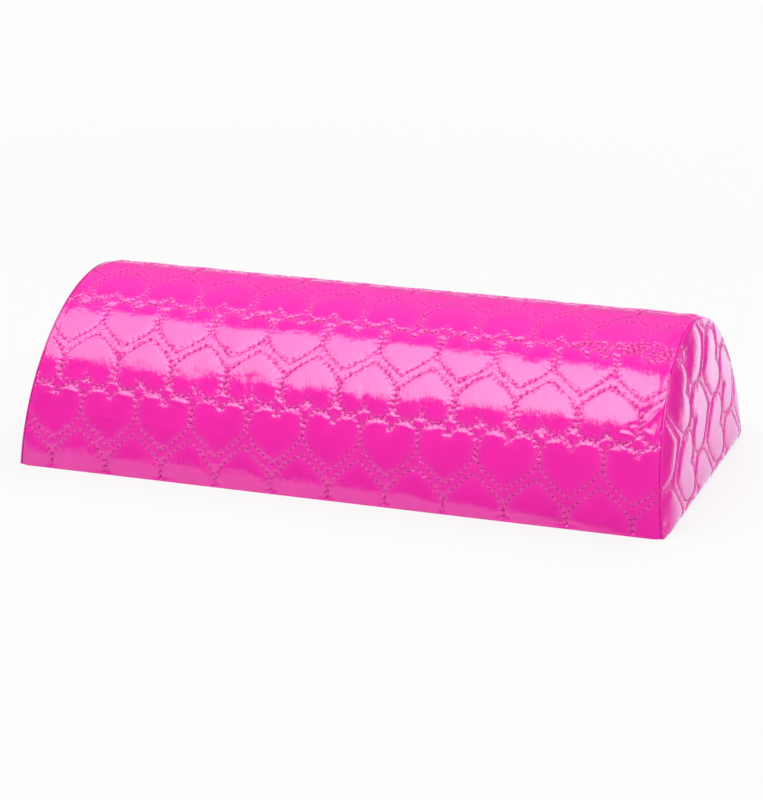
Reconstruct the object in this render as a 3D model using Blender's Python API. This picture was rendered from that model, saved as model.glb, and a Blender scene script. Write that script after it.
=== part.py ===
"""Manicure hand rest: a half-round foam block in a sewn cover of glossy cloth quilted with hearts.

Metres, +Z up. X runs along the cushion, -Y is its front, and the flat base stands on Z = 0.
The quilting is laid out on the flat cloth: two coordinates per point, along the cloth and up it.
"""
import bmesh
import bpy
import numpy as np
from mathutils import Vector
from mathutils.geometry import delaunay_2d_cdt

# Overall form, measured over the puffed hearts and from seam to seam
LENGTH = 0.300
WIDTH = 0.150
HEIGHT = 0.075
END_LEAN_IN = 0.0074

# Thickness of each piece, and the gap left between two pieces that are sewn or laid together
COVER_WALL_AT_SEAM = 0.0020
END_WALL_AT_SEAM = 0.0012
BASE_THICKNESS = 0.0015
CLEARANCE = 0.0003

# Rounding of the cloth towards its seams
SEAM_ROLL_WIDTH = 0.0030
SEAM_ROLL_DEPTH = 0.0020
FOOT_ROLL_HEIGHT = 0.0080
FOOT_ROLL_FOLD = 0.0024
END_CROWN = 0.0010
END_DOME_WIDTH = 0.0130
END_DOME_DEPTH = 0.0022
END_FLAT_RIM = 0.0080

# One heart of the quilting, about the level where it is widest
HEART_PITCH = 0.0267
HEART_GAP = 0.0009
TIP_DROP = 0.0162
LOBE_RISE = 0.0098
LOBE_SPREAD = 0.0067
CLEFT_RISE = 0.0052
SIDE_BELOW = 0.0025
SIDE_ABOVE = 0.0030

# How far each stretch of the outline keeps the direction it starts or ends in: along and up
TIP_HANDLE = (0.0036, 0.0025)
SIDE_HANDLE = (0.0012, 0.0048)
SHOULDER_HANDLE = (0.0, 0.0041)
LOBE_OUTER_HANDLE = (0.0031, 0.0)
LOBE_INNER_HANDLE = (0.0030, 0.0)
CLEFT_HANDLE = (0.0013, 0.0034)

# Rows of hearts: each row of upright hearts faces a row of inverted ones, lobes to lobes
ROW_PERIOD = 0.0466
ROW_OFFSET = 0.0101
FIRST_FACING_LINE = 0.0401
HEART_SHIFT = -0.0014

# The end panels' cloth is quilted a little larger and is turned, so that its rows stand upright
END_PATTERN_SCALE = 1.165
END_FACING_LINE = -0.0215
END_HEART_HEIGHT = 0.0194

# The cloth is pulled askew near the right end, so its hearts stray along the row: how far from the
# end that starts, the stretch over which it grows, and the shift of each row there from the front up
STRAY_LENGTH = 0.095
STRAY_REACH = 0.070
STRAY_POWER = 1.5
STRAY_SHIFTS = (0.0044, 0.0035, 0.0008, -0.0052, -0.0015, 0.0)

# Relief of the wadding between the sewn lines
QUILT_DEPTH = 0.0018
PUFF_REACH = 0.0035
PUFF_RING = 0.84
KITE_OFFSET = 0.0012

# Fineness of the facets
SIDE_STEPS = 3
LOBE_STEPS = 2
ARC_STEP = 0.0060
PROFILE_SAMPLES = 2001
MM = 1000.0
MERGE_DISTANCE = 0.00005

HALF_LENGTH = LENGTH / 2
HALF_WIDTH = WIDTH / 2
LEAN = END_LEAN_IN / HEIGHT
COVER_THICKNESS = COVER_WALL_AT_SEAM + max(SEAM_ROLL_DEPTH, QUILT_DEPTH)
END_THICKNESS = END_WALL_AT_SEAM + max(END_DOME_DEPTH, QUILT_DEPTH)


# The half-round section

def profile_table():
    """Angle round the half ellipse against the length of cloth from the front base edge."""
    angle = np.linspace(0.0, np.pi, PROFILE_SAMPLES)
    y = -HALF_WIDTH * np.cos(angle)
    z = HEIGHT * np.sin(angle)
    run = np.concatenate([[0.0], np.cumsum(np.hypot(np.diff(y), np.diff(z)))])
    return angle, run


PROFILE_ANGLE, PROFILE_RUN = profile_table()
CLOTH_RUN = float(PROFILE_RUN[-1])


def section_point(run, inset):
    """Y and Z at a length of cloth from the front base edge, set in square to the surface."""
    angle = np.interp(run, PROFILE_RUN, PROFILE_ANGLE)
    normal_y = -np.cos(angle) / HALF_WIDTH
    normal_z = np.sin(angle) / HEIGHT
    size = np.hypot(normal_y, normal_z)
    y = -HALF_WIDTH * np.cos(angle) - inset * normal_y / size
    z = HEIGHT * np.sin(angle) - inset * normal_z / size
    return y, z


def half_width_at(level, inset):
    """Half the width of the section, set in, at a height above the base."""
    run = np.linspace(0.0, CLOTH_RUN / 2, PROFILE_SAMPLES)
    y, z = section_point(run, inset)
    return -float(np.interp(level, z, y))


def end_x(z):
    """X of the right end's seam at a height: the end leans in towards the crest."""
    return HALF_LENGTH - LEAN * z


# The quilting on the flat cloth

def bezier(start, leave, arrive, end, steps):
    """Points along a cubic curve, without its last: its handles run from the start and to the end."""
    t = np.arange(steps)[:, None] / steps
    a, d = np.array(start), np.array(end)
    b, c = a + leave, d - np.array(arrive)
    return (1 - t) ** 3 * a + 3 * (1 - t) ** 2 * t * b + 3 * (1 - t) * t ** 2 * c + t ** 3 * d


def heart_outline():
    """Closed outline of one upright heart about the middle of its widest level."""
    half = HEART_PITCH / 2 - HEART_GAP / 2
    tip = (0.0, -TIP_DROP)
    low_side = (half, -SIDE_BELOW)
    high_side = (half, SIDE_ABOVE)
    lobe_top = (LOBE_SPREAD, LOBE_RISE)
    cleft = (0.0, CLEFT_RISE)
    side = bezier(tip, TIP_HANDLE, SIDE_HANDLE, low_side, SIDE_STEPS)
    outer = bezier(high_side, SHOULDER_HANDLE, np.negative(LOBE_OUTER_HANDLE), lobe_top, LOBE_STEPS)
    inner = bezier(lobe_top, np.negative(LOBE_INNER_HANDLE), np.negative(CLEFT_HANDLE), cleft, LOBE_STEPS)
    right = np.vstack([side, [low_side], outer, inner])
    left = (right * [-1, 1])[1:][::-1]
    return np.vstack([right, [cleft], left])


def stray(points):
    """Shift along the row of points on the main cloth, growing towards the right end."""
    rows = np.arange(len(STRAY_SHIFTS))
    levels = FIRST_FACING_LINE + rows // 2 * ROW_PERIOD + (rows % 2 * 2 - 1) * ROW_OFFSET
    level = np.interp(points[:, 1], levels, STRAY_SHIFTS)
    start = HALF_LENGTH - STRAY_LENGTH
    ramp = np.clip((points[:, 0] - start) / STRAY_REACH, 0.0, None) ** STRAY_POWER
    return points + np.stack([level * ramp, np.zeros(len(points))], axis=1)


def heart_rows(low, high, facing, shift, scale):
    """Outlines of every heart whose middle lies in a box of cloth, with a margin of one pitch."""
    outline = heart_outline() * scale
    pitch = HEART_PITCH * scale
    period = ROW_PERIOD * scale
    hearts = []
    first_band = int(np.floor((low[1] - facing) / period)) - 1
    last_band = int(np.ceil((high[1] - facing) / period)) + 1
    first_heart = int(np.floor((low[0] - shift) / pitch)) - 1
    last_heart = int(np.ceil((high[0] - shift) / pitch)) + 1
    for band in range(first_band, last_band + 1):
        line = facing + band * period
        for number in range(first_heart, last_heart + 1):
            upright = outline + [shift + number * pitch, line - ROW_OFFSET * scale]
            inverted = outline * [1, -1] + [shift + (number - 0.5) * pitch, line + ROW_OFFSET * scale]
            hearts += [upright, inverted[::-1]]
    return hearts


def shrink(hearts):
    """The puffed outline inside each heart, drawn in towards its middle."""
    middles = [heart.mean(axis=0) for heart in hearts]
    return [middle + (heart - middle) * PUFF_RING for heart, middle in zip(hearts, middles)]


def ridges(low, high, facing, shift, scale):
    """Raised cloth between the hearts: a zigzag between rows tip to tip, a kite between facing lobes."""
    pitch = HEART_PITCH * scale
    period = ROW_PERIOD * scale
    numbers = np.arange(np.floor((low[0] - shift) / pitch) - 1, np.ceil((high[0] - shift) / pitch) + 2)
    steps = np.arange(4 * len(numbers))
    x = shift + (numbers[0] + steps / 4) * pitch
    reach = (TIP_DROP + ROW_PERIOD - 2 * ROW_OFFSET - SIDE_BELOW) / 2
    under_tip = ROW_PERIOD - ROW_OFFSET - reach
    over_tip = ROW_OFFSET + reach
    swing = np.abs(steps % 4 - 2) / 2
    zigzag = over_tip + (under_tip - over_tip) * swing
    lines = []
    kites = []
    for band in range(int(np.floor((low[1] - facing) / period)) - 1, int((high[1] - facing) / period) + 2):
        line = facing + band * period
        lines.append(np.stack([x, line + zigzag * scale], axis=1))
        kites.append(np.stack([x[::4], np.full(len(numbers), line + KITE_OFFSET * scale)], axis=1))
        kites.append(np.stack([x[2::4], np.full(len(numbers), line - KITE_OFFSET * scale)], axis=1))
    return lines, np.vstack(kites)


def distance_to_lines(points, outlines):
    """Distance of each point to the nearest sewn line."""
    nearest = np.full(len(points), np.inf)
    for start in outlines:
        along = np.roll(start, -1, axis=0) - start
        offset = points[:, None, :] - start[None, :, :]
        share = np.clip((offset * along).sum(-1) / (along ** 2).sum(-1), 0.0, 1.0)
        gap = offset - share[..., None] * along
        nearest = np.minimum(nearest, np.hypot(gap[..., 0], gap[..., 1]).min(axis=1))
    return nearest


def puff_drop(points, outlines):
    """How far the cloth lies below its puffed height: a quarter ellipse rising from each sewn line."""
    share = np.clip(distance_to_lines(points, outlines) / PUFF_REACH, 0.0, 1.0)
    return QUILT_DEPTH * (1.0 - np.sqrt(1.0 - (1.0 - share) ** 2))


def seam_drop(distance, width, depth):
    """Quarter-round fall of the cloth from a distance inside its seam down to the seam."""
    share = 1.0 - np.clip(distance / width, 0.0, 1.0)
    return depth * (1.0 - np.sqrt(1.0 - share ** 2))


def dome_drop(distance, width, depth):
    """Gentle fall of a stuffed panel towards its rim: the square of the share of the way to it."""
    return depth * (1.0 - np.clip(distance / width, 0.0, 1.0)) ** 2


# Triangulating a panel of flat cloth along its sewn lines

def inside(points, polygon):
    """Which points lie inside a closed polygon, by counting the crossings of a ray."""
    count = np.zeros(len(points), dtype=int)
    for start, end in zip(polygon, np.roll(polygon, -1, axis=0)):
        spans = (start[1] > points[:, 1]) != (end[1] > points[:, 1])
        rise = end[1] - start[1]
        slope = (end[0] - start[0]) / rise if rise else 0.0
        crossing = start[0] + (points[:, 1] - start[1]) * slope
        count += spans & (points[:, 0] < crossing)
    return count % 2 == 1


def cut_panel(edge, closed_lines, open_lines, spots):
    """Triangles of the cloth inside its cut edge, with every sewn line as an edge of the mesh."""
    points = [Vector(spot) for spot in spots[inside(spots, edge)] * MM]
    links = []
    closed_count = 1 + len(closed_lines)
    for number, line in enumerate([edge] + closed_lines + open_lines):
        start = len(points)
        points += [Vector(point) for point in line * MM]
        links += [(start + i, start + i + 1) for i in range(len(line) - 1)]
        if number < closed_count:
            links.append((start + len(line) - 1, start))
    verts, _, faces, _, _, _ = delaunay_2d_cdt(points, links, [], 0, MERGE_DISTANCE * MM, False)
    flat = np.array([tuple(v) for v in verts]) / MM
    tris = np.array([f for f in faces if len(f) == 3])
    kept = tris[inside(flat[tris].mean(axis=1), edge)]
    used, index = np.unique(kept, return_inverse=True)
    return flat[used], index.reshape(-1, 3)


def border_loop(tris):
    """The panel's border as one loop of vertex numbers, in the direction of its triangles."""
    edges = np.concatenate([tris[:, [0, 1]], tris[:, [1, 2]], tris[:, [2, 0]]])
    known = set(map(tuple, edges.tolist()))
    after = {a: b for a, b in known if (b, a) not in known}
    loop = [min(after)]
    while after[loop[-1]] != loop[0]:
        loop.append(after[loop[-1]])
    return np.array(loop)


# Objects

def add_object(name, verts, faces, material):
    """One mesh object with its faces out, shaded smooth between sharp edges."""
    mesh = bpy.data.meshes.new(name)
    mesh.from_pydata([tuple(v) for v in verts], [], [tuple(f) for f in faces])
    body = bmesh.new()
    body.from_mesh(mesh)
    bmesh.ops.recalc_face_normals(body, faces=body.faces)
    body.to_mesh(mesh)
    body.free()
    mesh.shade_smooth()
    mesh.set_sharp_from_angle(angle=np.radians(50.0))
    mesh.materials.append(material)
    thing = bpy.data.objects.new(name, mesh)
    bpy.context.scene.collection.objects.link(thing)
    return thing


def make_material(name, colour, roughness):
    """A Principled material with a plain colour."""
    material = bpy.data.materials.new(name)
    material.use_nodes = True
    shader = material.node_tree.nodes["Principled BSDF"]
    shader.inputs["Base Color"].default_value = (*colour, 1.0)
    shader.inputs["Roughness"].default_value = roughness
    shader.inputs["Metallic"].default_value = 0.0
    return material


def close_shell(outer, inner, tris, loop, lining):
    """Faces of a closed shell: its outer face, its lining and a wall round the border."""
    count = len(outer)
    place = {int(vertex): count + i for i, vertex in enumerate(loop)}
    following = np.roll(loop, -1)
    faces = [tuple(t) for t in tris.tolist()]
    faces += [(int(b), int(a), place[int(a)], place[int(b)]) for a, b in zip(loop, following)]
    faces += [tuple(count + i for i in reversed(face)) for face in lining]
    return np.vstack([outer, inner]), faces


def cover_edge():
    """Cut edge of the main cloth on the flat: straight feet and two leaning ends."""
    steps = int(np.ceil(CLOTH_RUN / ARC_STEP))
    run = np.linspace(0.0, CLOTH_RUN, steps + 1)
    _, z = section_point(run, 0.0)
    right = np.stack([end_x(z), run], axis=1)
    left = (right * [-1, 1])[::-1]
    return right, np.vstack([right, left])


def place_cover(flat, drop):
    """Places flat cloth on the half-round section, its ends on the leaning seams."""
    _, z_nominal = section_point(flat[:, 1], 0.0)
    y, z = section_point(flat[:, 1], drop)
    seam = end_x(z) - CLEARANCE / 2
    x = flat[:, 0] / end_x(z_nominal) * seam
    return np.stack([x, y, z], axis=1)


def build_cover(material):
    """The quilted panel that runs from the front base edge over the crest to the back base edge."""
    right, edge = cover_edge()
    box = ((-HALF_LENGTH, 0.0), (HALF_LENGTH, CLOTH_RUN))
    rows = [stray(heart) for heart in heart_rows(*box, FIRST_FACING_LINE, HEART_SHIFT, 1.0)]
    hearts = [heart for heart in rows if inside(heart, edge).any()]
    roll_right = right * [1, 1] - [SEAM_ROLL_WIDTH, 0.0]
    roll_left = roll_right * [-1, 1]
    foot_ends = np.array([[-HALF_LENGTH, SEAM_ROLL_WIDTH], [HALF_LENGTH, SEAM_ROLL_WIDTH]])
    foot_back = foot_ends * [1, 0] + [0.0, CLOTH_RUN - SEAM_ROLL_WIDTH]
    zigzags, kites = ridges(*box, FIRST_FACING_LINE, HEART_SHIFT, 1.0)
    folds = [roll_right, roll_left, foot_ends, foot_back]
    open_lines = folds + [stray(line) for line in zigzags]
    flat, tris = cut_panel(edge, hearts + shrink(hearts), open_lines, stray(kites))
    _, z = section_point(flat[:, 1], 0.0)
    to_seam = np.minimum(end_x(z) - np.abs(flat[:, 0]), np.minimum(flat[:, 1], CLOTH_RUN - flat[:, 1]))
    flatness = np.clip(to_seam / SEAM_ROLL_WIDTH, 0.0, 1.0)
    drop = flatness * puff_drop(flat, hearts) + seam_drop(to_seam, SEAM_ROLL_WIDTH, SEAM_ROLL_DEPTH)
    outer = place_cover(flat, drop)
    loop = border_loop(tris)
    inner = place_cover(flat[loop], np.full(len(loop), COVER_THICKNESS))
    lining = line_cover(flat[loop])
    verts, faces = close_shell(outer, inner, tris, loop, lining)
    return add_object("quilted_cover", verts, faces, material)


def line_cover(border):
    """Faces of the cover's inner side: strips from end to end between points of its border."""
    right = [i for i in range(len(border)) if border[i, 0] > 0 and 0 < border[i, 1] < CLOTH_RUN]
    left = [i for i in range(len(border)) if border[i, 0] < 0 and 0 < border[i, 1] < CLOTH_RUN]
    links = [(i, (i + 1) % len(border)) for i in range(len(border))]
    for level in np.arange(ARC_STEP, CLOTH_RUN - ARC_STEP / 2, ARC_STEP):
        near_right = min(right, key=lambda i: abs(border[i, 1] - level))
        near_left = min(left, key=lambda i: abs(border[i, 1] - level))
        links.append((near_right, near_left))
    points = [Vector(point) for point in border * MM]
    verts, _, faces, _, _, _ = delaunay_2d_cdt(points, links, [], 0, 0.0, False)
    flat = np.array([tuple(v) for v in verts]) / MM
    keep = inside(np.array([flat[list(face)].mean(axis=0) for face in faces]), border)
    return [tuple(face) for face, kept in zip(faces, keep) if kept]


def build_end(name, side, material):
    """A half-round end panel of the same cloth with its rows upright: its flat face is the seam."""
    steps = int(np.ceil(CLOTH_RUN / ARC_STEP))
    run = np.linspace(0.0, CLOTH_RUN, steps + 1)
    edge = np.stack(section_point(run, 0.0), axis=1)[::-1]
    low = (0.0, -HALF_WIDTH)
    high = (HEIGHT, HALF_WIDTH)
    rows = heart_rows(low, high, END_FACING_LINE, END_HEART_HEIGHT, END_PATTERN_SCALE)
    hearts = [heart[:, ::-1] for heart in rows]
    hearts = [heart for heart in hearts if inside(heart, edge).any()]
    rim = np.stack(section_point(run, END_FLAT_RIM), axis=1)
    foot = np.array([[-HALF_WIDTH, FOOT_ROLL_HEIGHT], [HALF_WIDTH, FOOT_ROLL_HEIGHT]])
    fold = foot * [1, FOOT_ROLL_FOLD / FOOT_ROLL_HEIGHT]
    zigzags, kites = ridges(low, high, END_FACING_LINE, END_HEART_HEIGHT, END_PATTERN_SCALE)
    open_lines = [rim, foot, fold] + [line[:, ::-1] for line in zigzags]
    flat, tris = cut_panel(edge, hearts + shrink(hearts), open_lines, kites[:, ::-1])
    round_share = (flat[:, 0] / HALF_WIDTH) ** 2 + (flat[:, 1] / HEIGHT) ** 2
    to_rim = distance_to_lines(flat, [edge])
    fall = np.maximum(dome_drop(to_rim, END_DOME_WIDTH, END_DOME_DEPTH),
                      seam_drop(flat[:, 1], FOOT_ROLL_HEIGHT, SEAM_ROLL_DEPTH))
    crown = END_CROWN * np.clip(1.0 - round_share, 0.0, 1.0) * np.clip(flat[:, 1] / HEIGHT, 0.0, 1.0)
    flatness = np.clip(np.minimum(to_rim, flat[:, 1]) / END_FLAT_RIM, 0.0, 1.0)
    height = END_THICKNESS - fall - flatness * puff_drop(flat, hearts) + crown
    seam = end_x(flat[:, 1]) + CLEARANCE / 2
    outer = np.stack([side * (seam + height), flat[:, 0], flat[:, 1]], axis=1)
    loop = border_loop(tris)
    inner = np.stack([side * seam[loop], flat[loop, 0], flat[loop, 1]], axis=1)
    verts, faces = close_shell(outer, inner, tris, loop, [tuple(range(len(loop)))])
    return add_object(name, verts, faces, material)


def loft_between_ends(name, outline, material):
    """A solid of one outline in Y and Z that runs from end seam to end seam."""
    reach = end_x(outline[:, 1]) - CLEARANCE / 2
    count = len(outline)
    left = np.column_stack([-reach, outline])
    right = np.column_stack([reach, outline])
    faces = [(i, (i + 1) % count, count + (i + 1) % count, count + i) for i in range(count)]
    faces += [tuple(range(count))[::-1], tuple(range(count, 2 * count))]
    return add_object(name, np.vstack([left, right]), faces, material)


def build_foam(material):
    """The half-round foam block, which fills the cover down to the base panel."""
    inset = COVER_THICKNESS + CLEARANCE
    floor = BASE_THICKNESS + CLEARANCE
    steps = int(np.ceil(CLOTH_RUN / ARC_STEP))
    run = np.linspace(0.0, CLOTH_RUN, steps + 1)
    y, z = section_point(run, inset)
    above = z > floor + MERGE_DISTANCE
    foot = half_width_at(floor, inset)
    outline = np.vstack([[-foot, floor], np.stack([y[above], z[above]], axis=1), [foot, floor]])
    return loft_between_ends("foam_core", outline, material)


def build_base(material):
    """The flat base panel between the cover's two feet and the end panels."""
    reach = half_width_at(BASE_THICKNESS, COVER_THICKNESS) - CLEARANCE
    outline = np.array([[-reach, 0.0], [-reach, BASE_THICKNESS], [reach, BASE_THICKNESS], [reach, 0.0]])
    return loft_between_ends("base_panel", outline, material)


def main():
    """Builds the hand rest in an empty scene."""
    for thing in list(bpy.data.objects):
        bpy.data.objects.remove(thing, do_unlink=True)
    glossy_pink = make_material("glossy_pink_cloth", (0.90, 0.022, 0.40), 0.12)
    end_pink = make_material("glossy_pink_end_cloth", (0.88, 0.024, 0.39), 0.15)
    base_pink = make_material("plain_pink_base_cloth", (0.80, 0.022, 0.34), 0.40)
    foam = make_material("white_foam", (0.85, 0.83, 0.76), 0.95)
    build_foam(foam)
    build_base(base_pink)
    build_cover(glossy_pink)
    build_end("end_panel_left", -1, end_pink)
    build_end("end_panel_right", 1, end_pink)


main()
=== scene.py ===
"""Looks of the manicure hand rest: glossy cloth quilted with hearts over a half-round foam block.

Metres, +Z up, X along the cushion and -Y its front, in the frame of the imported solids.
Each soft solid is replaced by a finer surface of the same form, built in the classes below:

    HeartQuilt       the rows of hearts on flat cloth and the relief of the wadding between them
    HalfRound        the half-round section and its leaning ends, on which the flat cloth is laid
    QuiltedCover     the panel from the front base edge over the crest to the back base edge
    EndPanel         the half-round panel that closes each end
    BasePanel        the plain panel under the cushion
    FoamBlock        the foam inside
    Stitching        the threads and needle holes along the sewn lines
    SeamStitching    the threads down in the seams at the ends
    Studio           floor, lights and camera
"""
import logging
from collections.abc import Callable
from dataclasses import dataclass, field
from enum import Enum
from math import cos, pi, radians, sin

import bpy
import numpy as np
from mathutils import Matrix, Vector


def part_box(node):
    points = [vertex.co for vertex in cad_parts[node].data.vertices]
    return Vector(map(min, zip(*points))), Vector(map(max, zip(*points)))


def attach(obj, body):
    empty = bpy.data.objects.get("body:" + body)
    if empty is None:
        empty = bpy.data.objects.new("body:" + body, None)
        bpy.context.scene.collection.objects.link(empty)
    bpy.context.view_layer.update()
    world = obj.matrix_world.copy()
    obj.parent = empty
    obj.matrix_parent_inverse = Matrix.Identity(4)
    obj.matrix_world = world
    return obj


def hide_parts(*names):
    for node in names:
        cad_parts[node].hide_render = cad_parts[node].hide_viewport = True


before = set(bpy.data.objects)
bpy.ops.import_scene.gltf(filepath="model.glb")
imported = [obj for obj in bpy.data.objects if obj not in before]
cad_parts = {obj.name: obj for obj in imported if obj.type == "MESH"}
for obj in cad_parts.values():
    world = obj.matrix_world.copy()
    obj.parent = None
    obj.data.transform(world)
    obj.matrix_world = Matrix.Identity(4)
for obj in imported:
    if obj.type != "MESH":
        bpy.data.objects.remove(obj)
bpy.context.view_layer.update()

LOG = logging.getLogger("hand_rest")
MM = 0.001
ROOT = "root"
# A distance at which a sewn line no longer shapes the cloth
FAR = 20 * MM
# The share of a grid cell within which a vertex moves onto a sewn line
SNAP = 0.48
# The distance over which the cloth comes free of a sewn line
LOOSE = 2.0 * MM
# How far sewn cloth lies above its line's full depth, and the threads above that
SEWN_RISE = 0.05 * MM
THREAD_RISE = 0.08 * MM


class Edge(Enum):
    """Which edges of a sewn panel a distance is measured to."""

    ALL = "all"
    ENDS = "ends"
    FEET = "feet"


class Side(Enum):
    """The end of the cushion that a panel closes, as the sign of its X."""

    LEFT = -1
    RIGHT = 1


# Arrays


def lattice_noise(points: np.ndarray, size: float, seed: int) -> np.ndarray:
    """Smooth noise on the plane: values from -1 to 1 on a square lattice, joined by smoothstep.

    Args:
        points: (n, 2) places.
        size: Distance between two lattice points.
        seed: Number that picks the values.

    Returns:
        One value for each place.
    """
    count = 128
    table = np.random.default_rng(seed).uniform(-1.0, 1.0, (count, count))
    cell = np.floor(points / size)
    share = points / size - cell
    share = share * share * (3.0 - 2.0 * share)
    i, j = (cell.astype(int) % count).T
    k, m = (i + 1) % count, (j + 1) % count
    low = table[i, j] + (table[k, j] - table[i, j]) * share[:, 0]
    high = table[i, m] + (table[k, m] - table[i, m]) * share[:, 0]
    return low + (high - low) * share[:, 1]


def relax(still: np.ndarray, reach: float, cell: float, rounds: int) -> np.ndarray:
    """Height of wadded cloth that is pushed up by one and held down on its sewn lines.

    Solves reach^2 * (h_xx + h_yy) - h + 1 = 0 with h = 0 on the sewn lines, each round taking
    the value that suits a cell's four neighbours.

    Args:
        still: Grid that is true on the sewn lines.
        reach: Distance over which the cloth rises from a line.
        cell: Size of a grid cell.
        rounds: Number of rounds.

    Returns:
        Grid of heights from 0 to 1.
    """
    stiff = (reach / cell) ** 2
    height = np.zeros(still.shape)
    free = ~still / (1.0 + 4.0 * stiff)
    for _ in range(rounds):
        ring = np.pad(height, 1, mode="edge")
        total = ring[:-2, 1:-1] + ring[2:, 1:-1] + ring[1:-1, :-2] + ring[1:-1, 2:]
        height = (1.0 + stiff * total) * free
    return height


def slackness(points: np.ndarray, waves: tuple[tuple[float, int, float], ...]) -> np.ndarray:
    """Slackness of the cloth: the sum of smooth noise over waves of (millimetres, seed, share)."""
    return sum(lattice_noise(points, size * MM, seed) * share for size, seed, share in waves)


def quarter_fall(distance: np.ndarray, width: float, depth: float) -> np.ndarray:
    """Quarter-ellipse fall of the cloth, from nothing at a width inside its edge to a depth at it."""
    share = 1.0 - np.clip(distance / width, 0.0, 1.0)
    return depth * (1.0 - np.sqrt(1.0 - share**2))


@dataclass(frozen=True)
class GridField:
    """Values on a square grid over a box of flat cloth."""

    low: np.ndarray
    cell: float
    values: np.ndarray

    def at(self, points: np.ndarray) -> np.ndarray:
        """Value at each of (n, 2) places, straight-line between the grid's own."""
        size = np.array(self.values.shape) - 1
        where = np.clip((points - self.low) / self.cell, 0.0, size - 1e-6)
        cell = where.astype(int)
        share = where - cell
        i, j = cell.T
        low = self.values[i, j] * (1 - share[:, 0]) + self.values[i + 1, j] * share[:, 0]
        high = self.values[i, j + 1] * (1 - share[:, 0]) + self.values[i + 1, j + 1] * share[:, 0]
        return low * (1 - share[:, 1]) + high * share[:, 1]


@dataclass(frozen=True)
class Nearest:
    """What the nearest sewn line is to each place: how far, where on it, and how far along it."""

    distance: np.ndarray
    foot: np.ndarray
    run: np.ndarray

    def capped(self) -> np.ndarray:
        """The distances, none above FAR."""
        return np.minimum(self.distance, FAR)

    def pull(self, points: np.ndarray, pitch: float, reach: float, seed: int) -> np.ndarray:
        """Pull of the stitches: cos(2 pi run / pitch) * (1 + 0.6 noise) * exp(-distance / reach)."""
        wave = np.cos(2 * pi * self.run / pitch) * (1.0 + 0.6 * lattice_noise(points, 3 * MM, seed))
        return wave * np.exp(-self.capped() / reach)

    def free(self, reach: float) -> np.ndarray:
        """How free the cloth is of its sewn lines: 1 - exp(-distance / reach)."""
        return 1.0 - np.exp(-self.capped() / reach)


@dataclass(frozen=True)
class SewnLines:
    """Closed lines of quilting on flat cloth, each an (n, 2) array."""

    lines: list[np.ndarray]

    def nearest(self, points: np.ndarray, margin: float = 6 * MM) -> Nearest:
        """Nearest place on a sewn line to each point.

        For a stretch from a to b, the share is (p - a).(b - a) / |b - a|^2, held from 0 to 1.

        Args:
            points: (n, 2) places on flat cloth.
            margin: How far outside a line's box points are still measured to it.

        Returns:
            Distance, foot and run along the line of each point.
        """
        distance = np.full(len(points), np.inf)
        foot = points.copy()
        run = np.zeros(len(points))
        for line in self.lines:
            low, high = line.min(axis=0) - margin, line.max(axis=0) + margin
            near = np.flatnonzero(((points > low) & (points < high)).all(axis=1))
            if not len(near):
                continue
            along = np.roll(line, -1, axis=0) - line
            length = np.hypot(*along.T)
            before = np.concatenate([[0.0], np.cumsum(length)[:-1]])
            offset = points[near][:, None] - line
            share = np.clip((offset * along).sum(-1) / length**2, 0.0, 1.0)
            gap = offset - share[..., None] * along
            far = np.hypot(gap[..., 0], gap[..., 1])
            best = far.argmin(axis=1)
            row = np.arange(len(near))
            closer = far[row, best] < distance[near]
            chosen, row, best = near[closer], row[closer], best[closer]
            distance[chosen] = far[row, best]
            foot[chosen] = points[chosen] - gap[row, best]
            run[chosen] = before[best] + share[row, best] * length[best]
        return Nearest(distance, foot, run)


# The quilting


@dataclass(frozen=True)
class HeartShape:
    """One upright heart of the quilting, about the level where it is widest."""

    pitch: float = 26.7 * MM
    gap: float = 0.9 * MM
    tip_drop: float = 16.2 * MM
    lobe_rise: float = 9.8 * MM
    lobe_spread: float = 6.7 * MM
    cleft_rise: float = 5.2 * MM
    side_below: float = 2.5 * MM
    side_above: float = 3.0 * MM
    tip_handle: tuple[float, float] = (3.6 * MM, 2.5 * MM)
    side_handle: tuple[float, float] = (1.2 * MM, 4.8 * MM)
    shoulder_handle: tuple[float, float] = (0.0, 4.1 * MM)
    lobe_outer_handle: tuple[float, float] = (-3.1 * MM, 0.0)
    lobe_inner_handle: tuple[float, float] = (-3.0 * MM, 0.0)
    cleft_handle: tuple[float, float] = (-1.3 * MM, -3.4 * MM)
    steps: int = 12

    def stretch(self, start: tuple, leave: tuple, arrive: tuple, end: tuple) -> np.ndarray:
        """Points along a cubic curve without its last: (1-t)^3 a + 3(1-t)^2 t b + 3(1-t) t^2 c + t^3 d."""
        t = np.arange(self.steps)[:, None] / self.steps
        a, d = np.array(start), np.array(end)
        b, c = a + leave, d - np.array(arrive)
        return (1 - t) ** 3 * a + 3 * (1 - t) ** 2 * t * b + 3 * (1 - t) * t**2 * c + t**3 * d

    def outline(self) -> np.ndarray:
        """Closed outline of the heart, from its tip up the right side and down the left one."""
        half = self.pitch / 2 - self.gap / 2
        low_side, high_side = (half, -self.side_below), (half, self.side_above)
        lobe, cleft = (self.lobe_spread, self.lobe_rise), (0.0, self.cleft_rise)
        side = self.stretch((0.0, -self.tip_drop), self.tip_handle, self.side_handle, low_side)
        outer = self.stretch(high_side, self.shoulder_handle, self.lobe_outer_handle, lobe)
        inner = self.stretch(lobe, self.lobe_inner_handle, self.cleft_handle, cleft)
        straight = np.array([low_side, (half, 0.0)])
        right = np.vstack([side, straight, outer, inner])
        left = (right * [-1, 1])[1:][::-1]
        return np.vstack([right, [cleft], left])


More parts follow.
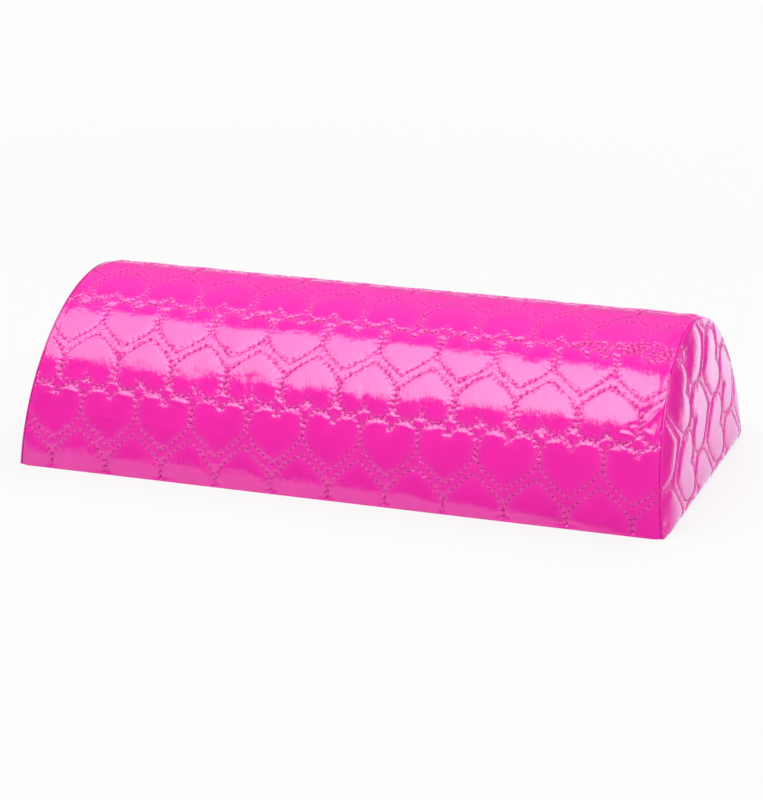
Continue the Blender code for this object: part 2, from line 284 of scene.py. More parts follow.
@dataclass(frozen=True)
class Drift:
    """How the hearts stray along their rows near the right end, where the cloth is pulled askew."""

    start: float = 55.0 * MM
    reach: float = 70.0 * MM
    power: float = 1.5
    levels: tuple[float, ...] = (30.0, 50.2, 76.6, 96.8, 123.2, 143.4)
    shifts: tuple[float, ...] = (4.4, 3.5, 0.8, -5.2, -1.5, 0.0)

    def moved(self, points: np.ndarray) -> np.ndarray:
        """Points shifted by their row's amount times ((x - start) / reach) ^ power."""
        shift = np.interp(points[:, 1] / MM, self.levels, self.shifts) * MM
        ramp = np.clip((points[:, 0] - self.start) / self.reach, 0.0, None) ** self.power
        return points + np.stack([shift * ramp, np.zeros(len(points))], axis=1)


@dataclass(frozen=True)
class HeartQuilt:
    """Rows of hearts over a box of flat cloth: rows of upright hearts facing rows of inverted ones."""

    low: tuple[float, float]
    high: tuple[float, float]
    facing_line: float = 40.1 * MM
    first_heart: float = -1.4 * MM
    period: float = 46.6 * MM
    offset: float = 10.1 * MM
    scale: float = 1.0
    turned: bool = False
    drift: Drift | None = None
    shape: HeartShape = HeartShape()
    wander: float = 0.50 * MM
    cell: float = 0.4 * MM
    line_width: float = 0.55
    reach: float = 1.10 * MM
    dome_step: int = 3
    dome_line_width: float = 1.7
    dome_reach: float = 9.0 * MM
    dome_share: float = 0.40
    rounds: int = 260

    def lines(self) -> SewnLines:
        """Every heart's outline that touches the box, with the small wander of a hand-guided machine."""
        outline = self.shape.outline() * self.scale
        pitch, period, offset = (v * self.scale for v in (self.shape.pitch, self.period, self.offset))
        low, high = (v[::-1] if self.turned else v for v in (self.low, self.high))
        bands = range(int((low[1] - self.facing_line) // period) - 1,
                      int((high[1] - self.facing_line) // period) + 2)
        numbers = range(int((low[0] - self.first_heart) // pitch) - 1,
                        int((high[0] - self.first_heart) // pitch) + 3)
        hearts = []
        for band in bands:
            line = self.facing_line + band * period
            for number in numbers:
                x = self.first_heart + number * pitch
                hearts.append(outline + [x, line - offset])
                hearts.append((outline * [1, -1] + [x - pitch / 2, line + offset])[::-1])
        if self.drift:
            hearts = [self.drift.moved(heart) for heart in hearts]
        hearts = [self.wandered(heart, seed) for seed, heart in enumerate(hearts)]
        if self.turned:
            hearts = [heart[::-1, ::-1] for heart in hearts]
        return SewnLines([heart for heart in hearts
                          if (heart.max(axis=0) > self.low).all() and (heart.min(axis=0) < self.high).all()])

    def wandered(self, heart: np.ndarray, seed: int) -> np.ndarray:
        """One outline, each point shifted by smooth noise of a few millimetres' wavelength."""
        shift = [lattice_noise(heart + 3.1 * seed, 7 * MM, 40 + axis) for axis in (0, 1)]
        return heart + self.wander * np.stack(shift, axis=1)

    def relief(self, lines: SewnLines) -> GridField:
        """Height of the wadding over the box, from 0 on the sewn lines to about 1 inside the hearts.

        The sum of a tight part, which rises within the reach of a line, and a dome over each heart.
        """
        low = np.array(self.low) - 2 * self.cell
        count = np.ceil((np.array(self.high) + 2 * self.cell - low) / self.cell).astype(int) + 1
        x, y = (low[k] + np.arange(count[k]) * self.cell for k in (0, 1))
        points = np.stack(np.meshgrid(x, y, indexing="ij"), axis=-1).reshape(-1, 2)
        distance = lines.nearest(points).distance.reshape(count)
        tight = relax(distance < self.line_width * self.cell, self.reach * self.scale, self.cell, self.rounds)
        step = self.dome_step
        still = distance[::step, ::step] < self.dome_line_width * self.cell
        coarse = relax(still, self.dome_reach * self.scale, step * self.cell, self.rounds)
        dome = GridField(low, step * self.cell, coarse / coarse.max()).at(points).reshape(count)
        dome *= 1.0 - np.exp(-distance / (self.reach * self.scale))
        return GridField(low, self.cell, (1.0 - self.dome_share) * tight + self.dome_share * dome)


@dataclass(frozen=True)
class Crease:
    """One soft fold of the glossy cloth: its middle, length, width, height and turn from the row."""

    x: float
    run: float
    length: float
    width: float
    height: float
    turn: float = 0.0

    def rise(self, points: np.ndarray) -> np.ndarray:
        """height * exp(-(v / width)^2) * exp(-(2 u / length)^4), bowed a little along its length."""
        angle = radians(self.turn)
        offset = points - np.array([self.x, self.run]) * MM
        u = offset[:, 0] * cos(angle) + offset[:, 1] * sin(angle)
        v = offset[:, 1] * cos(angle) - offset[:, 0] * sin(angle)
        half = self.length * MM / 2
        bowed = v + 0.12 * half * (u / half) ** 2
        return self.height * MM * np.exp(-((bowed / (self.width * MM)) ** 2) - (u / half) ** 4)


@dataclass(frozen=True)
class SeamFolds:
    """Soft folds, each of its own height, in the lobes of some rows and in the spaces between lobes.

    Sizes are in millimetres and degrees, as a crease takes them, and pairs are ranges.
    """

    seed: int = 8
    bands: int = 5
    hearts: tuple[int, int] = (-6, 7)
    stray: tuple[float, float] = (-1.0, 1.0)
    lobe_bands: tuple[int, ...] = (0, 3, 4)
    lobe_spread: float = 6.4
    lobe_drop: float = 2.7
    lobe_stray: tuple[float, float] = (-0.4, 0.4)
    lobe_length: tuple[float, float] = (7.0, 11.0)
    lobe_width: float = 1.1
    lobe_height: tuple[float, float] = (0.05, 0.55)
    lobe_turn: tuple[float, float] = (-14.0, 14.0)
    cleft_rise: float = 1.6
    gap_rise: float = -1.2
    space_length: tuple[float, float] = (5.0, 8.0)
    space_width: float = 1.0
    space_height: tuple[float, float] = (0.1, 0.65)
    space_turn: tuple[float, float] = (-45.0, 12.0)

    def creases(self, quilt: HeartQuilt) -> tuple[Crease, ...]:
        """The folds of every heart of a quilt, drawn in the order of its rows."""
        draw = np.random.default_rng(self.seed)
        pitch = quilt.shape.pitch / MM
        folds = []
        for band in range(self.bands):
            line = (quilt.facing_line + band * quilt.period) / MM
            lobes = (-self.lobe_spread, self.lobe_spread) if band in self.lobe_bands else ()
            for number in range(*self.hearts):
                x = quilt.first_heart / MM + number * pitch
                for lobe in lobes:
                    folds.append(Crease(
                        x + lobe + draw.uniform(*self.stray),
                        line - self.lobe_drop + draw.uniform(*self.lobe_stray),
                        draw.uniform(*self.lobe_length), self.lobe_width,
                        draw.uniform(*self.lobe_height), draw.uniform(*self.lobe_turn)))
                for space, rise in ((0.0, self.cleft_rise), (pitch / 2, self.gap_rise)):
                    folds.append(Crease(
                        x + space + draw.uniform(*self.stray), line + rise,
                        draw.uniform(*self.space_length), self.space_width,
                        draw.uniform(*self.space_height), draw.uniform(*self.space_turn)))
        return tuple(folds)


@dataclass(frozen=True)
class Tangle:
    """A narrow closed loop of extra stitching, where the machine ran back beside its own line."""

    x: float
    run: float
    length: float
    height: float
    turn: float = 0.0
    waves: float = 0.0
    sway: float = 0.0

    def outline(self) -> np.ndarray:
        """Points at u = length / 2 cos t, v = height / 2 sin t + sway cos(waves |t|), turned and placed."""
        t = np.linspace(0.0, 2 * pi, 48, endpoint=False)
        u = self.length / 2 * np.cos(t)
        v = self.height / 2 * np.sin(t) + self.sway * np.cos(self.waves * np.arccos(np.cos(t)))
        angle = radians(self.turn)
        points = np.stack([u * cos(angle) - v * sin(angle), u * sin(angle) + v * cos(angle)], axis=1)
        return (points + [self.x, self.run]) * MM


# The form


@dataclass(frozen=True)
class HalfRound:
    """The cushion's section, a half ellipse, and its two ends, which lean in towards the crest."""

    half_width: float = 75.0 * MM
    height: float = 75.0 * MM
    half_length: float = 150.0 * MM
    end_lean_in: float = 7.4 * MM
    seam_gap: float = 0.15 * MM
    samples: int = 2001

    def table(self) -> tuple[np.ndarray, np.ndarray]:
        """Angle round the section, and the length of cloth up to it from the front base edge."""
        angle = np.linspace(0.0, pi, self.samples)
        step = np.hypot(np.diff(-self.half_width * np.cos(angle)), np.diff(self.height * np.sin(angle)))
        return angle, np.concatenate([[0.0], np.cumsum(step)])

    def cloth_run(self) -> float:
        """Length of cloth from the front base edge over the crest to the back one."""
        return float(self.table()[1][-1])

    def point(self, run: np.ndarray, inset: np.ndarray | float) -> tuple[np.ndarray, ...]:
        """Y and Z at a length of cloth, set in square to the surface, and the outward normal's Y and Z."""
        angle = np.interp(run, *self.table()[::-1])
        normal = np.stack([-np.cos(angle) / self.half_width, np.sin(angle) / self.height])
        normal /= np.hypot(*normal)
        y = -self.half_width * np.cos(angle) - inset * normal[0]
        z = self.height * np.sin(angle) - inset * normal[1]
        return y, z, normal[0], normal[1]

    def end_x(self, z: np.ndarray) -> np.ndarray:
        """X of the right end's seam at a height."""
        return self.half_length - self.end_lean_in / self.height * z

    def lay(self, flat: np.ndarray, drop: np.ndarray) -> tuple[np.ndarray, np.ndarray]:
        """Lays flat cloth on the section, its ends on the leaning seams.

        Args:
            flat: (n, 2) places on the cloth, along it and up it.
            drop: How far each lies below the section.

        Returns:
            (n, 3) places and outward normals.
        """
        reach = self.end_x(self.point(flat[:, 1], 0.0)[1])
        y, z, normal_y, normal_z = self.point(flat[:, 1], drop)
        x = flat[:, 0] / reach * (self.end_x(z) - self.seam_gap)
        return np.stack([x, y, z], axis=1), np.stack([np.zeros(len(x)), normal_y, normal_z], axis=1)


FORM = HalfRound()


# Meshes


@dataclass
class Mesh:
    """Vertices, faces, point attributes and, for cloth, the place of each vertex on the flat cloth."""

    name: str
    verts: np.ndarray
    faces: list[np.ndarray]
    values: dict[str, np.ndarray] = field(default_factory=dict)
    caps: list[list[int]] = field(default_factory=list)
    cloth: np.ndarray | None = None

    def build(self, material: bpy.types.Material, slot: str) -> bpy.types.Object:
        """Makes the object, smooth-shaded, with its attributes and finish, and lets it ride.

        Args:
            material: Finish of the whole piece.
            slot: Not used.

        Returns:
            The finished object.
        """
        mesh = bpy.data.meshes.new(self.name)
        sizes = [np.full(len(f), f.shape[1]) for f in self.faces] + [[len(c)] for c in self.caps]
        sizes = np.concatenate(sizes)
        corners = np.concatenate([f.ravel() for f in self.faces] + [np.array(c) for c in self.caps])
        mesh.vertices.add(len(self.verts))
        mesh.vertices.foreach_set("co", self.verts.astype(np.float32).ravel())
        mesh.loops.add(len(corners))
        mesh.loops.foreach_set("vertex_index", corners.astype(np.int32))
        mesh.polygons.add(len(sizes))
        starts = np.concatenate([[0], np.cumsum(sizes)[:-1]])
        mesh.polygons.foreach_set("loop_start", starts.astype(np.int32))
        mesh.update(calc_edges=True)
        mesh.validate()
        for name, value in self.values.items():
            layer = mesh.attributes.new(name, "FLOAT", "POINT")
            layer.data.foreach_set("value", value.astype(np.float32))
        if self.cloth is not None:
            laid = mesh.uv_layers.new(name="cloth")
            laid.data.foreach_set("uv", self.cloth[corners].astype(np.float32).ravel())
        mesh.shade_smooth()
        mesh.set_sharp_from_angle(angle=radians(70.0))
        mesh.materials.append(material)
        thing = bpy.data.objects.new(self.name, mesh)
        bpy.context.scene.collection.objects.link(thing)
        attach(thing, ROOT)
        LOG.info("%s: %d vertices, %d faces", self.name, len(self.verts), len(sizes))
        return thing


def border(place: np.ndarray) -> np.ndarray:
    """Vertex numbers round a grid: along its first row, up its last column, and back to the start."""
    return np.concatenate([place[0, :-1], place[:-1, -1], place[-1, :0:-1], place[:0:-1, 0]])


def rim_wall(loop: np.ndarray, ring: np.ndarray) -> np.ndarray:
    """Quads between a closed loop of vertices and a second one beside it."""
    return np.stack([loop, np.roll(loop, -1), np.roll(ring, -1), ring], axis=1)


def tube_quads(count: int, rings: int, sides: int) -> np.ndarray:
    """Quads between the rings of many tubes alike, whose vertices go tube by tube and ring by ring."""
    base = (np.arange(count) * rings * sides)[:, None, None]
    row = base + (np.arange(rings - 1) * sides)[:, None]
    here, there = np.arange(sides), (np.arange(sides) + 1) % sides
    corners = [row + here, row + there, row + sides + there, row + sides + here]
    return np.stack(corners, axis=-1).reshape(-1, 4)


def tube_caps(count: int, rings: int, sides: int, ring: int) -> np.ndarray:
    """One face for each of many tubes alike, over one of its rings."""
    return (np.arange(count) * rings * sides + ring * sides)[:, None] + np.arange(sides)


def grid_triangles(rows: int, columns: int, crease: np.ndarray | None = None) -> np.ndarray:
    """Triangles of a grid, each cell cut from corner to corner along a sewn line where it has one.

    Args:
        rows: Number of rows of vertices.
        columns: Number of vertices in a row.
        crease: Which vertices lie on a sewn line, in row order.

    Returns:
        (m, 3) vertex numbers, facing up where columns run along X and rows along Y.
    """
    place = np.arange(rows * columns).reshape(rows, columns)
    a, b, c, d = (p.ravel() for p in (place[:-1, :-1], place[:-1, 1:], place[1:, 1:], place[1:, :-1]))
    other = np.zeros(len(a), dtype=bool)
    if crease is not None:
        other = (crease[b] & crease[d]) & ~(crease[a] & crease[c])
    first = np.where(other[:, None], np.stack([a, b, d], axis=1), np.stack([a, b, c], axis=1))
    second = np.where(other[:, None], np.stack([b, c, d], axis=1), np.stack([a, c, d], axis=1))
    return np.concatenate([first, second])


# Shader nodes


class NodeTree:
    """Short way to place and join nodes in a tree."""

    def __init__(self, tree: bpy.types.NodeTree) -> None:
        """Keeps the tree that the nodes go in."""
        self.tree = tree

    def join(self, value, node: bpy.types.Node, name: str | int) -> None:
        """Gives a node's input what a socket holds, or a plain value."""
        if isinstance(value, bpy.types.NodeSocket):
            self.tree.links.new(value, node.inputs[name])
        else:
            node.inputs[name].default_value = value

    def add(self, kind: str, inputs: dict | None = None, **settings) -> bpy.types.Node:
        """Places one node.

        Args:
            kind: The node's type.
            inputs: Sockets or plain values, by the name or number of the inputs.
            **settings: The node's own settings.

        Returns:
            The node.
        """
        node = self.tree.nodes.new(kind)
        for name, value in settings.items():
            setattr(node, name, value)
        for name, value in (inputs or {}).items():
            self.join(value, node, name)
        return node

    def math(self, operation: str, *values, clamp: bool = False) -> bpy.types.NodeSocket:
        """Result of one math node, its operands sockets or numbers."""
        node = self.add("ShaderNodeMath", dict(enumerate(values)), operation=operation, use_clamp=clamp)
        return node.outputs[0]

    def ramp(self, value: bpy.types.NodeSocket, start: tuple, end: tuple) -> bpy.types.NodeSocket:
        """Straight line from one pair of value and result to another, level beyond them."""
        inputs = {"Value": value, "From Min": start[0], "To Min": start[1],
                  "From Max": end[0], "To Max": end[1]}
        return self.add("ShaderNodeMapRange", inputs).outputs[0]

    def value_of(self, name: str) -> bpy.types.NodeSocket:
        """A point attribute of the mesh."""
        return self.add("ShaderNodeAttribute", attribute_name=name).outputs["Fac"]

    def place(self, kind: str = "Object") -> bpy.types.NodeSocket:
        """The place on the object, or another of the texture coordinates."""
        return self.add("ShaderNodeTexCoord").outputs[kind]

    def mixed(self, factor, first, second) -> bpy.types.NodeSocket:
        """Colour between two, each a socket or a colour."""
        return self.add("ShaderNodeMix", {0: factor, 6: first, 7: second}, data_type="RGBA").outputs[2]

    def either(self, factor, first: bpy.types.Node, second: bpy.types.Node) -> bpy.types.Node:
        """Shader between two."""
        return self.add("ShaderNodeMixShader", {0: factor, 1: first.outputs[0], 2: second.outputs[0]})

    def bumped(self, height: bpy.types.NodeSocket, strength: float, distance: float) -> bpy.types.NodeSocket:
        """Normal of a surface with a height on it."""
        inputs = {"Height": height, "Strength": strength, "Distance": distance}
        return self.add("ShaderNodeBump", inputs).outputs[0]


def emptied(owner: bpy.types.Material | bpy.types.World) -> NodeTree:
    """The nodes of a material or a world, with none in them yet."""
    owner.use_nodes = True
    owner.node_tree.nodes.clear()
    return NodeTree(owner.node_tree)


def new_group(name: str, inputs: dict[str, float],
              outputs: tuple[str, ...]) -> tuple[NodeTree, dict, dict]:
    """Starts a shader group: its first input is the place on the surface, the rest plain numbers.

    Args:
        name: The group's name.
        inputs: Its inputs and their values.
        outputs: Its outputs.

    Returns:
        The tree, its inputs' sockets and its outputs' sockets.
    """
    tree = bpy.data.node_groups.new(name, "ShaderNodeTree")
    tree.interface.new_socket("Place", in_out="INPUT", socket_type="NodeSocketVector")
    for key, value in inputs.items():
        tree.interface.new_socket(key, in_out="INPUT", socket_type="NodeSocketFloat").default_value = value
    for key in outputs:
        tree.interface.new_socket(key, in_out="OUTPUT", socket_type="NodeSocketFloat")
    start, end = tree.nodes.new("NodeGroupInput"), tree.nodes.new("NodeGroupOutput")
    return NodeTree(tree), start.outputs, end.inputs


def grain_group() -> bpy.types.NodeTree:
    """Shared effect: fine unevenness of a coating over woven cloth, as a height and a mottle mask."""
    nodes, given, results = new_group(
        "coated_cloth_grain", {"Size": 0.9 * MM, "Weave": 0.5 * MM}, ("Height", "Mottle"))
    place = given["Place"]
    scale = nodes.math("DIVIDE", 1.0, given["Size"])
    soft = nodes.add("ShaderNodeTexNoise",
                     {"Vector": place, "Scale": scale, "Detail": 2.0, "Roughness": 0.55})
    wide = nodes.math("MULTIPLY", scale, 0.06)
    mottle = nodes.add("ShaderNodeTexNoise", {"Vector": place, "Scale": wide, "Detail": 3.0})
    threads = nodes.math("DIVIDE", 1.0, given["Weave"])
    weave = nodes.add("ShaderNodeTexVoronoi", {"Vector": place, "Scale": threads, "Randomness": 0.6})
    low = nodes.math("MULTIPLY", weave.outputs["Distance"], -0.35)
    nodes.tree.links.new(nodes.math("ADD", soft.outputs["Fac"], low), results["Height"])
    nodes.tree.links.new(mottle.outputs["Fac"], results["Mottle"])
    return nodes.tree


def pucker_group() -> bpy.types.NodeTree:
    """Shared effect: small puckers of cloth beside a sewn line, fading over a reach from it."""
    nodes, given, results = new_group(
        "sewn_puckers", {"Distance": 1.0, "Reach": 1.6 * MM, "Size": 1.7 * MM}, ("Height", "Shade"))
    scale = nodes.math("DIVIDE", 1.0, given["Size"])
    folds = nodes.add("ShaderNodeTexNoise",
                      {"Vector": given["Place"], "Scale": scale, "Detail": 1.5, "Distortion": 0.6})
    away = nodes.math("MULTIPLY", nodes.math("DIVIDE", given["Distance"], given["Reach"]), -1.0)
    fade = nodes.math("EXPONENT", away)
    nodes.tree.links.new(nodes.math("MULTIPLY", folds.outputs["Fac"], fade), results["Height"])
    # The Shade output is also the mask of the cloth's painted highlight along the sewn lines.
    nodes.tree.links.new(fade, results["Shade"])
    return nodes.tree


def rib_group() -> bpy.types.NodeTree:
    """Shared effect: faint ribs of the backing cloth, close together across it and long up it."""
    nodes, given, results = new_group("backing_ribs", {"Across": 0.7 * MM, "Along": 4.5 * MM}, ("Height",))
    parts = nodes.add("ShaderNodeSeparateXYZ", {0: given["Place"]})
    across = nodes.math("DIVIDE", parts.outputs["X"], given["Across"])
    along = nodes.math("DIVIDE", parts.outputs["Y"], given["Along"])
    stretched = nodes.add("ShaderNodeCombineXYZ", {"X": across, "Y": along})
    ribs = nodes.add("ShaderNodeTexNoise", {"Vector": stretched.outputs[0], "Scale": 1.0, "Detail": 1.0})
    nodes.tree.links.new(ribs.outputs["Fac"], results["Height"])
    return nodes.tree


@dataclass(frozen=True)
class Finish:
    """A finish: its colour and gloss. The classes below give each its own detail."""

    name: str
    colour: tuple[float, float, float]
    roughness: float

    def start(self) -> tuple[bpy.types.Material, NodeTree, bpy.types.Node]:
        """A new material with its plain values set, its nodes and its Principled shader."""
        material = bpy.data.materials.new(self.name)
        material.use_nodes = True
        shader = material.node_tree.nodes["Principled BSDF"]
        shader.inputs["Base Color"].default_value = (*self.colour, 1.0)
        shader.inputs["Roughness"].default_value = self.roughness
        return material, NodeTree(material.node_tree), shader

    def tint(self, share: float) -> tuple[float, float, float, float]:
        """The finish's colour times a share."""
        return (*(min(1.0, c * share) for c in self.colour), 1.0)


@dataclass(frozen=True)
class PatentCloth(Finish):
    """Glossy coated cloth: mirror-like over even colour, with grain, puckers, and a painted highlight in a
    lighter tint on the stretched cloth along the seams.
    """

    ior: float = 1.8
    grain: float = 0.035
    ribs: float = 0.14
    puckers: float = 0.80
    # Colour of the stretched cloth along the sewn lines: a painted highlight, lighter and whiter than the
    # body's colour.
    stretched: tuple[float, float, float] = (0.93, 0.06, 0.47)

    def material(self, grain: bpy.types.NodeTree, puckers: bpy.types.NodeTree,
                 ribs: bpy.types.NodeTree) -> bpy.types.Material:
        """Builds the material from the shared grain, puckers and ribs.

        Args:
            grain: Group of the coating's unevenness.
            puckers: Group of the folds beside a sewn line.
            ribs: Group of the ribs of the cloth under the coating.

        Returns:
            The material.
        """
        material, nodes, shader = self.start()
        shader.inputs["IOR"].default_value = self.ior
        place = nodes.place()
        laid = nodes.add("ShaderNodeUVMap", uv_map="cloth").outputs["UV"]
        fine = nodes.add("ShaderNodeGroup", {"Place": place}, node_tree=grain)
        folds = nodes.add("ShaderNodeGroup", {"Place": place, "Distance": nodes.value_of("seam_distance")},
                          node_tree=puckers)
        ribbed = nodes.add("ShaderNodeGroup", {"Place": laid}, node_tree=ribs)
        mottle = fine.outputs["Mottle"]
        body = nodes.mixed(nodes.ramp(mottle, (0.3, 0.0), (0.7, 1.0)), self.tint(0.955), self.tint(1.03))
        # Painted highlight: near each sewn line the body's colour turns towards the lighter stretched colour,
        # by the puckers' fading mask.
        seam = nodes.math("MULTIPLY", folds.outputs["Shade"], 0.6)
        nodes.join(nodes.mixed(seam, body, (*self.stretched, 1.0)), shader, "Base Color")
        rough = nodes.ramp(mottle, (0.3, self.roughness * 0.85), (0.7, self.roughness * 1.3))
        nodes.join(rough, shader, "Roughness")
        height = nodes.math("ADD", nodes.math("MULTIPLY", fine.outputs["Height"], self.grain),
                            nodes.math("MULTIPLY", folds.outputs["Height"], self.puckers))
        height = nodes.math("ADD", height, nodes.math("MULTIPLY", ribbed.outputs["Height"], self.ribs))
        nodes.join(nodes.bumped(height, 1.0, 1.0 * MM), shader, "Normal")
        return material


@dataclass(frozen=True)
class PlainCloth(Finish):
    """Duller coated cloth of the base, with a pebbled grain and rubbed high spots."""

    grain: float = 0.30

    def material(self, grain: bpy.types.NodeTree) -> bpy.types.Material:
        """Builds the material from the shared grain."""
        material, nodes, shader = self.start()
        fine = nodes.add("ShaderNodeGroup", {"Place": nodes.place(), "Size": 1.4 * MM, "Weave": 0.9 * MM},
                         node_tree=grain)
        height = fine.outputs["Height"]
        colour = nodes.mixed(fine.outputs["Mottle"], self.tint(0.82), self.tint(1.12))
        nodes.join(colour, shader, "Base Color")
        rough = nodes.math("ADD", nodes.math("MULTIPLY", height, 0.2), self.roughness - 0.1)
        nodes.join(rough, shader, "Roughness")
        nodes.join(nodes.bumped(height, self.grain, 0.6 * MM), shader, "Normal")
        return material


@dataclass(frozen=True)
class TwistedThread(Finish):
    """Sewing thread: slanted strands across its length, with painted shade between them."""

    def material(self) -> bpy.types.Material:
        """Builds the material from the turns of the strands, an attribute of the mesh."""
        material, nodes, shader = self.start()
        wave = nodes.math("SINE", nodes.math("MULTIPLY", nodes.value_of("thread_turn"), 2 * pi))
        share = nodes.math("MULTIPLY", nodes.math("ADD", wave, 1.0), 0.5)
        # Painted shade between the strands and a painted highlight on their tops, over the same wave as the
        # bump.
        nodes.join(nodes.mixed(share, self.tint(0.85), self.tint(1.1)), shader, "Base Color")
        nodes.join(nodes.bumped(wave, 0.4, 0.05 * MM), shader, "Normal")
        return material


@dataclass(frozen=True)
class NeedleHole(Finish):
    """The pinch of cloth where the thread goes down, coloured dark as painted shade in the hole."""

    # The hole's own colour and this rim colour are painted shade, darker than the cloth.
    rim: tuple[float, float, float] = (0.70, 0.014, 0.30)
    gloss: float = 0.12

    def material(self) -> bpy.types.Material:
        """Builds the material: painted shade, dark in the middle and near the cloth's colour at the rim."""
        material, nodes, shader = self.start()
        shader.inputs["Specular IOR Level"].default_value = self.gloss
        colour = nodes.mixed(nodes.value_of("rim_share"), self.tint(1.0), (*self.rim, 1.0))
        nodes.join(colour, shader, "Base Color")
        return material


@dataclass(frozen=True)
class OpenFoam(Finish):
    """Open-celled foam: pores of two sizes, with painted shade in them."""

    def material(self) -> bpy.types.Material:
        """Builds the material from two Voronoi patterns of pores."""
        material, nodes, shader = self.start()
        place = nodes.place()
        small, large = (
            nodes.add("ShaderNodeTexVoronoi", {"Vector": place, "Scale": scale}).outputs["Distance"]
            for scale in (1400.0, 500.0))
        pores = nodes.math("ADD", small, nodes.math("MULTIPLY", large, 0.5), clamp=True)
        # Painted shade in the pores: darker nearer each pore's middle.
        nodes.join(nodes.mixed(pores, self.tint(0.7), self.tint(1.05)), shader, "Base Color")
        nodes.join(nodes.bumped(pores, 0.8, 0.5 * MM), shader, "Normal")
        return material


# Threads


@dataclass(frozen=True)
class Stitching:
    """Threads and needle holes along sewn lines."""

    pitch: float = 2.8 * MM
    radius: float = 0.155 * MM
    arch: float = 0.14 * MM
    dip: float = 0.12 * MM
    sides: int = 5
    rings: int = 5
    hole_length: float = 0.63 * MM
    hole_width: float = 0.45 * MM
    hole_sides: int = 8
    strand: float = 0.55 * MM

    def spaced(self, line: np.ndarray, closed: bool = True) -> np.ndarray:
        """Needle holes along a line, at even spacing near the pitch, on the stretches between points."""
        loop = np.vstack([line, line[:1]]) if closed else line
        run = np.concatenate([[0.0], np.cumsum(np.hypot(*np.diff(loop, axis=0).T))])
        count = max(int(round(run[-1] / self.pitch)), 2)
        where = np.linspace(0.0, run[-1], count + 1)
        return np.stack([np.interp(where, run, loop[:, k]) for k in (0, 1)], axis=1)

    def on_lines(self, lines: SewnLines,
                 inside: Callable[[np.ndarray], np.ndarray]) -> tuple[np.ndarray, ...]:
        """Stitches and needle holes along every line, as far as they lie inside the panel.

        Args:
            lines: The sewn lines.
            inside: Tells which of (n, 2) holes lie inside.

        Returns:
            Start and end of each stitch, each hole, and the way from it to the next one.
        """
        starts, ends, marks, aims = [], [], [], []
        for line in lines.lines:
            holes = self.spaced(line)
            kept = inside(holes)
            both = kept[:-1] & kept[1:]
            starts.append(holes[:-1][both])
            ends.append(holes[1:][both])
            marks.append(holes[:-1][kept[:-1]])
            aims.append(np.diff(holes, axis=0)[kept[:-1]])
        return tuple(np.vstack(v) for v in (starts, ends, marks, aims))

    def threads(self, name: str, start: np.ndarray, end: np.ndarray, normal: np.ndarray) -> Mesh:
        """One short tube for each stitch: it rises out of one hole and goes down the next.

        A ring at share t lies at a + (b - a) t, raised by arch * sin(pi t) - dip * |2t - 1|^4.

        Args:
            name: The piece's name.
            start: (n, 3) holes where the stitches start.
            end: (n, 3) holes where they end.
            normal: (n, 3) outward normals of the cloth.

        Returns:
            The mesh of all threads.
        """
        along = end - start
        length = np.linalg.norm(along, axis=1, keepdims=True)
        along = along / length
        across = np.cross(normal, along)
        across /= np.linalg.norm(across, axis=1, keepdims=True)
        up = np.cross(along, across)
        t = np.linspace(0.10, 0.90, self.rings)
        lift = self.arch * np.sin(pi * t) - self.dip * np.abs(2 * t - 1) ** 4
        centre = start[:, None] + (end - start)[:, None] * t[:, None] + up[:, None] * lift[:, None]
        turn = np.arange(self.sides) / self.sides * 2 * pi
        thick = self.radius * (1.0 - 0.35 * np.abs(2 * t - 1) ** 3)
        ring = across[:, None, None] * np.cos(turn)[:, None] + up[:, None, None] * np.sin(turn)[:, None]
        verts = centre[:, :, None] + ring * thick[:, None, None]
        tubes = (len(start), self.rings, self.sides)
        faces = [tube_quads(*tubes), tube_caps(*tubes, 0)[:, ::-1], tube_caps(*tubes, self.rings - 1)]
        strand = (t[:, None] * length[:, :, None] / self.strand + turn / (2 * pi)).reshape(-1)
        return Mesh(name, verts.reshape(-1, 3), faces, {"thread_turn": strand})

    def holes(self, name: str, place: np.ndarray, normal: np.ndarray, along: np.ndarray) -> Mesh:
        """One shallow cup for each needle hole: a rim, a lip above it and a dark bottom.

        Three elliptic rings, longer along the thread, at 1, 0.72 and 0.38 of the hole's size.
        """
        across = np.cross(normal, along)
        across /= np.linalg.norm(across, axis=1, keepdims=True)
        forward = np.cross(across, normal)
        turn = np.arange(self.hole_sides) / self.hole_sides * 2 * pi
        spread = np.array([1.0, 0.72, 0.38])
        height = np.array([-0.05, 0.08, 0.02]) * MM
        ring = forward[:, None] * (np.cos(turn) * self.hole_length)[:, None]
        ring = ring + across[:, None] * (np.sin(turn) * self.hole_width)[:, None]
        verts = place[:, None, None] + ring[:, None] * spread[:, None, None]
        verts = verts + normal[:, None, None] * height[:, None, None]
        cups = (len(place), len(spread), self.hole_sides)
        faces = [tube_quads(*cups), tube_caps(*cups, len(spread) - 1)]
        rim = np.tile(np.repeat([1.0, 0.25, 0.0], self.hole_sides), len(place))
        return Mesh(name, verts.reshape(-1, 3), faces, {"rim_share": rim})


# The pieces


